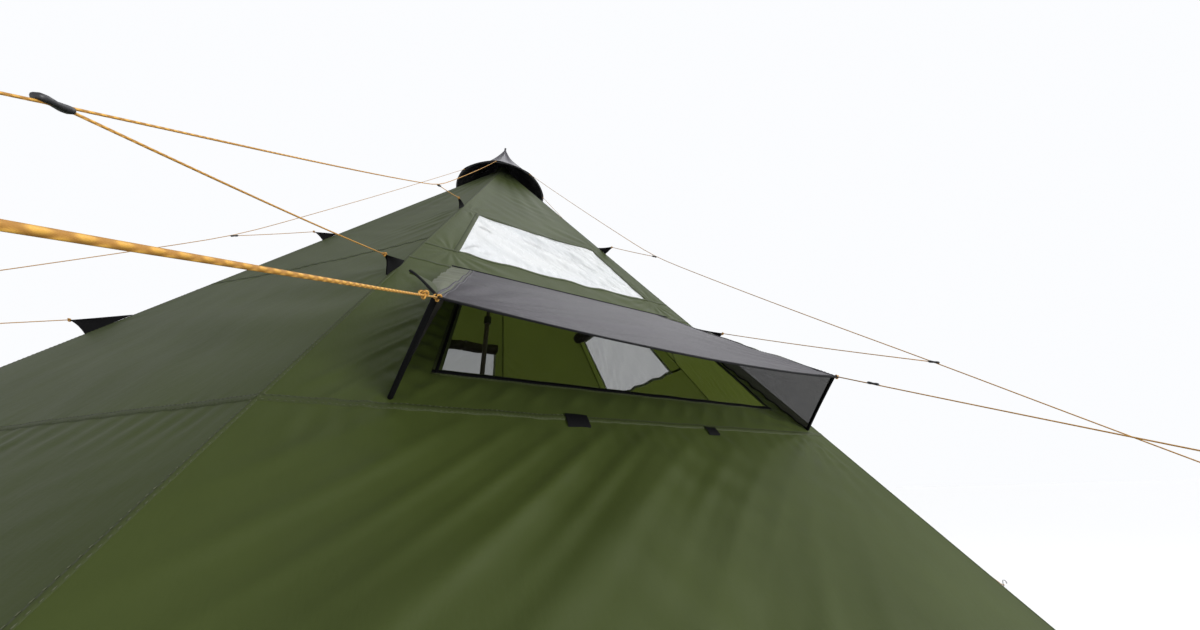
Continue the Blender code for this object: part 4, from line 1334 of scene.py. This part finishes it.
def blind_roll(index):
    """A rolled blind under the cloth, along the top of a roof window, drawn in by its ties."""
    height = ROOF_WINDOW_TOP + BLIND_RADIUS * 0.8
    reach = half_width(height) * (ROOF_WINDOW_SHARE + 0.03)
    across = np.linspace(-reach, reach, 70)
    middle = on_cloth(index, across, height + 0.003 * np.cos(across * 21), -BLIND_RADIUS - BLIND_GAP)
    size = BLIND_RADIUS * (0.92 + 0.05 * np.cos(across * 23 + 1) + 0.03 * np.cos(across * 47))
    for tie in BLIND_TIES:
        size = size - BLIND_TIE_DEPTH * bell(across, middle=tie * reach, reach=BLIND_TIE_REACH)
    size[0] = size[-1] = BLIND_RADIUS * 0.5
    points, faces, uv = tube(middle, size, 16)
    return make(f"blind_{PANELS[index]}", points, faces, COVER_CLOTH, uv)


for index in range(0, SIDES, 2):
    window_sheet(f"film_{PANELS[index]}", index, ROOF_WINDOW, FILM,
                 f"roof_window_{PANELS[index]}", FILM_BEHIND, film_creases, FILM_GRID)
    roll = blind_roll(index)
    dress(roll)
print("roof windows", SIDES // 2)

# %% [markdown]
# Under each awning sits a window of black net, sewn behind its opening like the film above it,
# so the same helper makes it, with smaller creases. Black tape binds its edges, and two short
# tabs of hook-and-loop tape lie below it.

# %% Net windows
def net_creases(across, height):
    return waves(across, height, depth=0.003, length=0.3, lean=0.9, seed=31)


for index, end_name in ENDS:
    window_sheet(f"net_{end_name}", index, NET_WINDOW, NET,
                 f"mesh_window_{end_name}", NET_BEHIND, net_creases, NET_GRID)
print("net windows", len(ENDS))

# %% Black bindings and hook-and-loop tabs
BINDING_WIDTH, BINDING_THICK, BINDING_LIFT, BINDING_PAST = 0.011, 0.0014, 0.0008, 0.008
SIDE_BINDING_WIDTH, SIDE_BINDING_LIFT, SIDE_BINDING_PAST = 0.007, 0.0012, 0.004
# Left and right end across the panel, then foot and top, of each tab.
CLOSURE_TABS, TAB_THICK = ((-0.217, -0.162, 0.768, 0.800), (0.190, 0.230, 0.766, 0.790)), 0.0026
bindings = Gathered()
for index, end_name in ENDS:
    left, right, foot, top = NET_WINDOW
    for height, width in ((foot, BINDING_WIDTH), (top, BINDING_WIDTH * 0.8)):
        bindings.strip(ribbon_rows(index, level_line(height, left, right, BINDING_PAST), width,
                                   BINDING_THICK, BINDING_LIFT))
    for share in (left, right):
        line = share_line(share, foot - SIDE_BINDING_PAST, top + SIDE_BINDING_PAST)
        bindings.strip(ribbon_rows(index, line, SIDE_BINDING_WIDTH, BINDING_THICK, SIDE_BINDING_LIFT))
    for start, end, low, high in CLOSURE_TABS:
        line = walk([(start, (low + high) / 2), (end, (low + high) / 2)], 0.006)
        bindings.strip(ribbon_rows(index, line, (high - low) * SLANT, TAB_THICK, SIDE_BINDING_LIFT))
dress(bindings.piece("window_bindings", WEBBING))
print("binding strips", len(bindings.points))

# %% [markdown]
# The side panels open as doors: a cloth leaf hangs on a sewn edge, and a zip runs down its free
# edge. Its leaf is its own sheet, so that it can swing with the hinge of the frame. The zip is
# two tapes, one on the leaf and one on the panel, with a coil of small teeth between them.

# %% Door leaves and zips
LEAF_GAP, LEAF_BEHIND, LEAF_RIPPLE = 0.004, 0.0012, 0.004
LEAF_ROWS, LEAF_COLUMNS = 90, 64
ZIP_TAPE, ZIP_TAPE_THICK, ZIP_TAPE_SHIFT = 0.014, 0.0014, 0.008
LEAF_TAPE_LIFT, PANEL_TAPE_LIFT, TOOTH_LIFT = 0.0002, 0.0012, 0.0022
TOOTH_PITCH, TOOTH_REACH, TOOTH_RADIUS = 0.006, 0.0030, 0.0011


def tooth_shape():
    """A small bar across the zip, raised in its middle."""
    path = [(-TOOTH_REACH, 0, 0), (-0.001, 0, 0.0008), (0.001, 0, 0.0008), (TOOTH_REACH, 0, 0)]
    points, faces, uv = tube(path, TOOTH_RADIUS, 4)
    return make("tooth_shape", points, faces, PLASTIC, uv)


def teeth_along(index, line, cross):
    """Places for teeth at even steps along a line, laid across it."""
    normal = panel_axes(index)[2]
    turn = Matrix((Vector(cross), Vector(normal).cross(Vector(cross)), Vector(normal)))
    far = run_length(line * (1, SLANT))
    steps = np.arange(0, far[-1], TOOTH_PITCH)
    return [Matrix.Translation(Vector(on_cloth(index, across, height, TOOTH_LIFT)))
            @ turn.transposed().to_4x4()
            for across, height in zip(np.interp(steps, far, line[:, 0]),
                                      np.interp(steps, far, line[:, 1]))]


panel_teeth = []
zip_tapes = Gathered()
for index, side_name in DOORS:
    share, height = np.meshgrid(np.linspace(-1, 1, LEAF_COLUMNS + 1),
                                np.linspace(DOOR_TOP, DOOR_FOOT, LEAF_ROWS + 1))
    across = share * (DOOR_SHARE * half_width(height) - LEAF_GAP)
    ripple = LEAF_RIPPLE * edge_fade(across, height, DOORWAY) * np.cos(across * 24)
    leaf = make(f"door_leaf_{side_name}", on_cloth(index, across, height, ripple - LEAF_BEHIND),
                grid(LEAF_ROWS + 1, LEAF_COLUMNS + 1), FLY,
                np.stack([across, SLANT * height], axis=-1))
    dress(leaf, f"{side_name}_door", (f"door_{side_name}",))
    middle = half_width((DOOR_FOOT + DOOR_TOP) / 2)
    leaf_tape = Gathered()
    along, upward, normal = panel_axes(index)
    free_edge = (share_line(DOOR_SHARE, DOOR_FOOT, DOOR_TOP), (-ZIP_TAPE_SHIFT, 0), along)
    lower_edge = (level_line(DOOR_FOOT, -DOOR_SHARE, DOOR_SHARE), (0, ZIP_TAPE_SHIFT / SLANT), upward)
    for line, inward, cross in (free_edge, lower_edge):
        leaf_tape.strip(ribbon_rows(index, line + inward, ZIP_TAPE, ZIP_TAPE_THICK, LEAF_TAPE_LIFT))
        zip_tapes.strip(ribbon_rows(index, line - inward, ZIP_TAPE, ZIP_TAPE_THICK, PANEL_TAPE_LIFT))
        panel_teeth += teeth_along(index, line, cross)
    dress(leaf_tape.piece(f"leaf_tape_{side_name}", WEBBING), f"{side_name}_door")
dress(zip_tapes.piece("zip_tapes", WEBBING))
dress(repeated("zip_teeth", tooth_shape(), panel_teeth, PLASTIC))
print("zip teeth", len(panel_teeth))

# %% [markdown]
# The awning over each net window is a grey sheet sewn along its top. A curved double seam joins
# a wrinkled olive margin to either side of it, and its front edge is bound in black. Rope pulls
# its corners out, so the front edge sags between them and short creases run into the corners.
# From each corner a loose tongue of cloth, the ear, runs up along the margin.

# %% Awning shape
AWNING_FRONT, AWNING_BOW, AWNING_SAG = 0.720, 0.040, 0.010
# Half the width of the grey cloth at its top, how much it gains down to the front, and how.
GREY_TOP, GREY_GAIN, GREY_CURVE = 0.385, 0.142, 1.08
# The margin's outer edge: where it bends, its half width at the top and at the bend, its slopes.
MARGIN_BEND, MARGIN_TOP, MARGIN_WIDEST, MARGIN_OUT, MARGIN_IN = 0.58, 0.45, 0.54, 0.155, 0.093
MARGIN_RIPPLE, MARGIN_DROOP = 0.0026, 0.006
AWNING_GRID, MARGIN_GRID = (73, 97), (121, 9)


def awning_seam_half(drop):
    """Half the width of the grey cloth, at some metres down from its seam."""
    return GREY_TOP + GREY_GAIN * (np.clip(drop, 0, 1) / AWNING_FRONT) ** GREY_CURVE


def awning_outer_half(drop):
    """Half the width with the margins, which run out to a bend and in again."""
    drop = np.asarray(drop, float)
    return np.where(drop < MARGIN_BEND, MARGIN_TOP + MARGIN_OUT * drop,
                    MARGIN_WIDEST - MARGIN_IN * (drop - MARGIN_BEND))


def awning_edge(share):
    """How far down the front edge of the awning lies, at a share of its half width."""
    return AWNING_FRONT + AWNING_BOW * np.clip(1 - share ** 2, 0, 1) ** 0.8


def awning_relief(across, drop):
    """How far the cloth stands off the awning's plane: a sag, creases and a rippled margin."""
    share = across / awning_seam_half(drop)
    down = drop / AWNING_FRONT
    out = -AWNING_SAG * np.clip(1 - share ** 2, 0, 1) * np.clip(down, 0, 1) ** 1.5
    slack = np.clip(down * 3, 0, 1) * np.clip((1.05 - down) * 5, 0.15, 1)
    out = out + waves(across, drop / SLANT, depth=0.0016, length=0.14, lean=1.2, seed=41) * slack
    for side in (-1, 1):
        corner = (side * AWNING_CORNER[0], -AWNING_CORNER[1] / SLANT)
        out = out + fan(across, -drop / SLANT, corner, reach=0.45, depth=0.0032, count=22,
                        turn=side) * slack
        margin = np.clip((side * across - awning_seam_half(drop)) / 0.05, 0, 1)
        ripple = np.cos(2 * math.pi * drop * 13 + 1.5 * np.sin(drop * 17))
        fade = np.clip((0.64 - drop) / 0.12, 0, 1)
        out = out + margin * fade * (MARGIN_RIPPLE * ripple - MARGIN_DROOP)
    return out * np.clip(drop / 0.03, 0, 1)


def awning_cloth(index, across, drop, lift=0.0):
    """World points on the awning's cloth, or a little off it."""
    across, drop = np.broadcast_arrays(np.asarray(across, float), np.asarray(drop, float))
    return awning_point(index, across, drop, awning_relief(across, drop) + lift)


def awning_strip(index, across, drop, width, thick, lift=0.0):
    """Rows of a strip on an awning along a line."""
    line = np.stack(np.broadcast_arrays(across, -np.asarray(drop, float)), axis=1)
    spots, raised = strip_rows(line, width, thick, lift)
    return awning_cloth(index, spots[..., 0], -spots[..., 1], raised)


print("awning is", round(2 * float(awning_outer_half(MARGIN_BEND)), 2), "m across at its widest")

# %% Awning cloth and margins
for index, end_name in ENDS:
    body = f"{end_name}_awning"
    rows, columns = AWNING_GRID
    share, down = np.meshgrid(np.linspace(-1, 1, columns), np.linspace(0, 1, rows))
    drop = down * awning_edge(share)
    across = share * awning_seam_half(drop)
    cloth = make(f"awning_cloth_{end_name}", awning_cloth(index, across, drop), grid(rows, columns),
                 AWNING, np.stack([across, -drop], axis=-1))
    dress(cloth, body, (f"awning_{end_name}",))
    for side, side_name in ((-1, "left"), (1, "right")):
        rows, columns = MARGIN_GRID
        down, share = np.meshgrid(np.linspace(0, 1, rows), np.linspace(0, 1, columns),
                                  indexing="ij")
        drop = down * AWNING_FRONT
        inner, outer = awning_seam_half(drop), awning_outer_half(drop)
        across = side * (inner + np.maximum(outer - inner, 0.001) * share)
        if side < 0:
            across, drop = across[:, ::-1], drop[:, ::-1]
        # The margins take the paler copy of the fly's cloth, which is painted light.
        margin = make(f"awning_margin_{end_name}_{side_name}", awning_cloth(index, across, drop),
                      grid(rows, columns), FLY_PAINTED_LIGHT, np.stack([across, -drop], axis=-1))
        dress(margin, body)
print("awnings", len(ENDS), "with two margins each")

# %% Awning seams, stitches, bindings and ears
SEAM_SHIFTS = (-0.005, 0.005)
AWNING_SEAM_WIDTH, AWNING_SEAM_THICK, AWNING_STITCH_LIFT = 0.0045, 0.0012, 0.0016
FRONT_BINDING_WIDTH, TOP_BINDING_WIDTH, AWNING_BINDING_THICK = 0.016, 0.014, 0.0016
EAR_WIDE, EAR_DROOP, EAR_CORD_RADIUS = 0.040, 0.030, 0.0026


def ear_points(index, side):
    """A small loose tongue of cloth from the awning's corner up along its margin, and its rim."""
    rows = np.linspace(0, 1, 16)[:, None]
    columns = np.linspace(0, 1, 5)[None, :]
    bulge = EAR_WIDE * rows ** 0.5 * (1 - rows) ** 1.3 * 1.9
    inner = EAR_TIP[0] + (AWNING_CORNER[0] - EAR_TIP[0]) * rows - bulge * 0.60
    across = inner + (columns - 0.5) * 0.9 * bulge
    drop = EAR_TIP[1] + (AWNING_CORNER[1] + 0.012 - EAR_TIP[1]) * rows
    bent = np.where(side < 0, 0.004 + 0.008 * columns * (1 - rows), -EAR_DROOP * (1 - rows))
    rim = awning_point(index, side * across[:, -1], drop[:, 0], bent[:, -1] - 0.002)
    if side < 0:
        across, bent = across[:, ::-1], bent[:, ::-1]
    return awning_point(index, side * across, drop, bent), rim


for index, end_name in ENDS:
    body = f"{end_name}_awning"
    drops = np.linspace(0.0, AWNING_FRONT, 90)
    lines = [side * (awning_seam_half(drops) + shift) for side in (-1, 1) for shift in SEAM_SHIFTS]
    edges = Gathered()
    for across in lines:
        edges.strip(awning_strip(index, across, drops, AWNING_SEAM_WIDTH, AWNING_SEAM_THICK))
    dress(edges.piece(f"awning_seams_{end_name}", AWNING_HEM), body)
    rows = [awning_cloth(index, across, drops, AWNING_STITCH_LIFT) for across in lines]
    dress(sewn(f"awning_stitches_{end_name}", rows, GREY_THREAD), body)
    border = Gathered()
    share = np.linspace(-1, 1, 120)
    drops = awning_edge(share) - 0.004
    border.strip(awning_strip(index, share * awning_seam_half(drops), drops, FRONT_BINDING_WIDTH,
                              AWNING_BINDING_THICK))
    ears = Gathered()
    for side in (-1, 1):
        points, rim = ear_points(index, side)
        ears.strip(points)
        border.add(*tube(rim, EAR_CORD_RADIUS, 6))
    dress(ears.piece(f"awning_ears_{end_name}", FLY_HEM_AND_PAINTED_SHADE), body)
    across = np.linspace(-awning_outer_half(0), awning_outer_half(0), 80)
    border.strip(awning_strip(index, across, 0.004, TOP_BINDING_WIDTH, AWNING_BINDING_THICK, 0.0006))
    dress(border.piece(f"awning_binding_{end_name}", WEBBING), body)
print("seam lines", len(lines), "on each awning")

# %% [markdown]
# A net gusset closes each side of the awning. It hangs between the awning's edge and the panel.

# %% Gussets
GUSSET_TOP = (0.447, 1.285)
GUSSET_FOOT_RIGHT, GUSSET_FOOT_LEFT, GUSSET_FOOT_HEIGHT = 0.674, 0.556, 0.805
GUSSET_FLAT, GUSSET_LEAST_SHARE = (0.40, 0.72), 0.3
GUSSET_ROWS, GUSSET_COLUMNS = 41, 21
GUSSET_START, GUSSET_BELLY, GUSSET_HOLLOW = 0.03, 0.007, 0.006
PANEL_CORD_RADIUS, FREE_CORD_RADIUS = 0.0028, 0.0050
SQUASH_HEIGHT, SQUASH_LIFT, SQUASH_KEEP = 1.0, 0.004, 0.03


def gusset_point(index, side, away, toward):
    """away runs from the top corner to the free edge, toward from the panel to the awning."""
    along, upward, normal = panel_axes(index)
    foot = GUSSET_FOOT_RIGHT if side > 0 else GUSSET_FOOT_LEFT
    across = side * (GUSSET_TOP[0] + (foot - GUSSET_TOP[0]) * away)
    height = GUSSET_TOP[1] + (GUSSET_FOOT_HEIGHT - GUSSET_TOP[1]) * away
    on_panel = on_cloth(index, across, height, 0.002)
    drop = GUSSET_START + (AWNING_CORNER[1] - GUSSET_START) * away
    on_awning = awning_cloth(index, side * (awning_seam_half(drop) + 0.004), drop, -0.002)
    rippled = np.cos(3 * away + 7 * toward) * (1 - away ** 8)
    belly = GUSSET_BELLY * np.sin(math.pi * toward) * away * rippled
    hollow = GUSSET_HOLLOW * toward * (1 - toward) * away ** 6
    straight = on_panel + (on_awning - on_panel) * toward[..., None]
    return straight + (belly * side)[..., None] * along + hollow[..., None] * upward


for index, end_name in ENDS:
    normal = panel_axes(index)[2]
    for side in (-1, 1):
        side_name = side_named(index, side)
        away, toward = np.meshgrid(np.linspace(0.01, 1, GUSSET_ROWS),
                                   np.linspace(0, 1, GUSSET_COLUMNS), indexing="ij")
        faces = grid(GUSSET_ROWS, GUSSET_COLUMNS)
        net = make(f"gusset_net_{end_name}_{side_name}", gusset_point(index, side, away, toward),
                   faces if side < 0 else [face[::-1] for face in faces], GUSSET_NET,
                   np.stack([toward * away * GUSSET_FLAT[0], away * 0.7], axis=-1))
        on_panel = gusset_point(index, side, np.linspace(0.02, 1, 50), np.zeros(50))
        free = gusset_point(index, side, np.ones(40), np.linspace(0, 1, 40))
        edge = Gathered()
        edge.add(*tube(on_panel, PANEL_CORD_RADIUS, 6))
        edge.add(*tube(free, FREE_CORD_RADIUS, 8))
        bound = edge.piece(f"gusset_binding_{end_name}_{side_name}", WEBBING)
        dress(net, "tent", (f"gusset_{end_name}_{side_name}",))
        dress(bound)
        for piece in (net, bound):
            tuple(flat_point(index, 0, SQUASH_HEIGHT, SQUASH_LIFT))
            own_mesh(piece)

# %% [markdown]
# The cap is a small pointed cone over the peak. Its cloth is a little hollow between tip and
# rim, with a seam over each ridge, and a hoop holds its rim out. Below it a band of black net
# closes the vent.

# %% Cap
CAP_TIP, CAP_HOLE, CAP_CURVE = 3.530, 0.0095, 1.28
CAP_SEGMENTS, CAP_RINGS = 128, 28
CAP_CUT_WIDTH, CAP_CUT_LENGTH = 2.2, 0.62
CAP_SEAM_HALF = 0.006
# How far the cloth draws in between the ridges, flares at them, ripples and dips at the rim.
CAP_DRAWN_IN, CAP_FLARE, CAP_RIPPLE, CAP_DIP = 0.022, 0.004, 0.0022, 0.004


def cap_radius(down):
    """The cap's radius from tip to rim, a little hollow between them."""
    return CAP_HOLE + (CAP_RIM_RADIUS - CAP_HOLE) * down ** CAP_CURVE


def cap_point(turn, down, lift=0.0):
    """turn is the angle round the tent and down runs from tip to rim."""
    ridge_phase = (turn + math.pi / 2 + SECTOR / 2) / SECTOR
    near_ridge = np.cos(2 * math.pi * ridge_phase) * 0.5 + 0.5
    radius = cap_radius(down) - (1 - near_ridge) * CAP_DRAWN_IN * np.sin(math.pi * down)
    radius = radius + CAP_FLARE * near_ridge ** 3 * down ** 6 + lift
    radius = radius + CAP_RIPPLE * np.cos(5 * turn + 9 * down) * np.sin(math.pi * down)
    height = CAP_TIP + (HOOP_HEIGHT - CAP_TIP) * down - (1 - near_ridge) * CAP_DIP * down ** 4
    return np.stack([radius * np.cos(turn), radius * np.sin(turn), height + lift * 0.4], axis=-1)


turn = np.arange(CAP_SEGMENTS) * 2 * math.pi / CAP_SEGMENTS
down = np.linspace(0, 1, CAP_RINGS)
faces, uv = [], []
for ring in range(CAP_RINGS - 1):
    for k in range(CAP_SEGMENTS):
        here, after = ring * CAP_SEGMENTS, (k + 1) % CAP_SEGMENTS
        faces.append((here + k, here + CAP_SEGMENTS + k, here + CAP_SEGMENTS + after, here + after))
        uv += [(a / CAP_SEGMENTS * CAP_CUT_WIDTH, b / CAP_RINGS * CAP_CUT_LENGTH)
               for a, b in ((k, ring), (k, ring + 1), (k + 1, ring + 1), (k + 1, ring))]
cap = make("cap_cloth", cap_point(turn[None, :], down[:, None]), faces, CAP_CLOTH, uv)
dress(cap, "tent", ("vent_cap",))

# A seam runs down the cap over each ridge, lifted in its middle and tucked in at its edges.
SEAM_PROFILE = ((-1, -STRIP_TUCK), (-0.8, 0.0014), (0, 0.0018), (0.8, 0.0014), (1, -STRIP_TUCK))
cap_seams = Gathered()
for ridge in range(SIDES):
    rows = []
    for share in np.linspace(0.06, 1, 40):
        wide = CAP_SEAM_HALF / max(cap_radius(share), 0.02)
        rows.append([cap_point(ridge_angle(ridge) + offset * wide, share, lift)
                     for offset, lift in SEAM_PROFILE])
    cap_seams.strip(rows)
dress(cap_seams.piece("cap_seams", AWNING_HEM))

rim = Gathered()
rim.strip([[cap_point(angle, 1.0, 0) - (0, 0, 0.005), cap_point(angle, 1.0, 0.0022),
            cap_point(angle, 0.96, 0.0016), cap_point(angle, 0.955, -STRIP_TUCK)]
           for angle in np.linspace(0, 2 * math.pi, 161)])
dress(rim.piece("cap_binding", WEBBING))
print("cap faces", len(cap.data.polygons))

# %% Vent net
VENT_TOP, VENT_GAP = APEX - 0.035, 0.006
VENT_START, VENT_RISE, VENT_UNDER_CAP = HOOP_HEIGHT - 0.005, 0.075, 0.010
band_turn = np.linspace(0, 2 * math.pi, 129)
cap_profile = cap_point(band_turn[None, :], np.linspace(0, 1, 120)[:, None])
cap_reach = np.hypot(cap_profile[..., 0], cap_profile[..., 1])
octagon = (FLAT_SLOPE * (APEX - VENT_TOP) + VENT_GAP) / np.cos(off_middle(band_turn))
band_rows = []
for share in np.linspace(1, 0, 14):
    reaches = (CAP_RIM_RADIUS - VENT_GAP) * (1 - share) + octagon * share
    level = VENT_START + share * (VENT_TOP - VENT_START)
    raised = level + VENT_RISE * max(math.sin(math.pi * share), 0) ** 0.8
    under_cap = [np.interp(reach, cap_reach[:, k], cap_profile[:, k, 2]) - VENT_UNDER_CAP
                 for k, reach in enumerate(reaches)]
    band_rows.append(np.stack([reaches * np.cos(band_turn), reaches * np.sin(band_turn),
                               np.minimum(raised, under_cap)], axis=-1))
band = Gathered()
band.strip(band_rows)
vent = band.piece("vent_net", VENT_NET)
dress(vent, "tent", ("vent_mesh",))
print("vent faces", len(vent.data.polygons))

# %% [markdown]
# Where the eight panels end, a sleeve of gathered cloth closes the gap up to the pole. Black
# tabs sewn over the ridges take the pull of the guyline legs, and a groundsheet lies inside.

# %% Sleeve at the peak
# Radius and height of each row, from the foot of the sleeve up.
SLEEVE_LINE = ((0.1010, 3.158), (0.0790, 3.200), (0.0600, 3.250), (0.0450, 3.310), (0.0330, 3.370),
               (0.0150, 3.398))
sleeve_turn = np.linspace(0, 2 * math.pi, 65)
gathers = 1 + 0.05 * np.cos(24 * sleeve_turn) + 0.03 * np.cos(7 * sleeve_turn + 1)
sleeve = Gathered()
sleeve.strip([np.stack([reach * gathers * np.cos(sleeve_turn), reach * gathers * np.sin(sleeve_turn),
                        np.full_like(sleeve_turn, height)], axis=-1)
              for reach, height in SLEEVE_LINE[::-1]])
dress(sleeve.piece("peak_sleeve", FLY))
print("sleeve ends at", SLEEVE_LINE[-1][1], "m")

# %% Guy tabs
TAB_HALF_THICK, TAB_HOLLOW, TAB_TWIST = 0.0014, 0.05, 0.004


def tab_spot(ends, tip, down_share, out_share):
    """A point of a tab, between its sewn edge on the ridge and its tip, hollow on both sides."""
    top, foot = ends
    base = top + (foot - top) * down_share
    hollow = math.sin(math.pi * out_share) * (down_share - 0.5) * TAB_HOLLOW
    return base + (tip - base) * out_share * 0.99 - (foot - top) * hollow


tabs = Gathered()
for ridge, middle, length, tip in tab_corners:
    angle = ridge_angle(ridge)
    sideways = np.array([-math.sin(angle), math.cos(angle), 0])
    ends = [ridge_place(ridge, RIDGE_SLOPE * (APEX - height) + 0.001, height)
            for height in (middle + length / 2, middle - length / 2)]
    for face_side in (-1, 1):
        rows = []
        for down_share in np.linspace(0, 1, 9):
            row = []
            for out_share in np.linspace(0, 1, 7):
                twist = TAB_TWIST * math.sin(3 * out_share + 5 * down_share + ridge)
                row.append(tab_spot(ends, tip, down_share, out_share)
                           + sideways * (face_side * TAB_HALF_THICK + twist))
            rows.append(row if face_side < 0 else row[::-1])
        tabs.strip(rows)
dress(tabs.piece("guy_tabs", WEBBING))
print("guy tabs", len(tab_corners))

# %% Groundsheet
GROUND_SEGMENTS, GROUND_RINGS = 96, 40
GROUND_INSET, GROUND_LEVEL, GROUND_MIDDLE_LEVEL = 0.075, 0.0045, 0.0035
half_flats = (CORNER_RADIUS - GROUND_INSET) * math.cos(SECTOR / 2)
points = [(0, 0, GROUND_MIDDLE_LEVEL)]
for ring in range(1, GROUND_RINGS + 1):
    for k in range(GROUND_SEGMENTS):
        angle = 2 * math.pi * k / GROUND_SEGMENTS
        reach = half_flats / math.cos(off_middle(angle)) * ring / GROUND_RINGS
        x, y = reach * math.cos(angle), reach * math.sin(angle)
        ripple = waves(np.float64(x), np.float64(y), depth=0.0014, length=0.5, lean=0.4, seed=61)
        points.append((x, y, GROUND_LEVEL + ripple))
faces = [(0, 1 + k, 1 + (k + 1) % GROUND_SEGMENTS) for k in range(GROUND_SEGMENTS)]
for ring in range(GROUND_RINGS - 1):
    for k in range(GROUND_SEGMENTS):
        first = 1 + ring * GROUND_SEGMENTS + k
        after = 1 + ring * GROUND_SEGMENTS + (k + 1) % GROUND_SEGMENTS
        faces.append((first, first + GROUND_SEGMENTS, after + GROUND_SEGMENTS, after))
ground = make("ground_cloth", points, faces, GROUND_CLOTH, [point[:2] for point in points])
dress(ground, "tent", ("groundsheet",))
print("groundsheet faces", len(faces))

# %% [markdown]
# The pole, the crown, the hoop under the cap and the zip sliders show just as the CAD has them.
# Their meshes are left alone, and only the plain colours in their slots are exchanged for the
# finishes made above.

# %% Finishes of the CAD parts that stay
FINISHES = {"steel": POLE_METAL, "dark_plastic": PLASTIC, "dark_webbing": WEBBING, "fly_cloth": FLY,
            "awning_cloth": AWNING}
for node_name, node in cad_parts.items():
    for held in node.material_slots:
        slot_name = held.material.name.split(".")[0] if held.material else ""
        if node_name == "crown":
            # It sits in the shadow under the cap and takes the darker hem cloth as painted shade.
            held.material = FLY_HEM_AND_PAINTED_SHADE
        elif slot_name in FINISHES:
            held.material = FINISHES[slot_name]
print("CAD nodes", len(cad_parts))
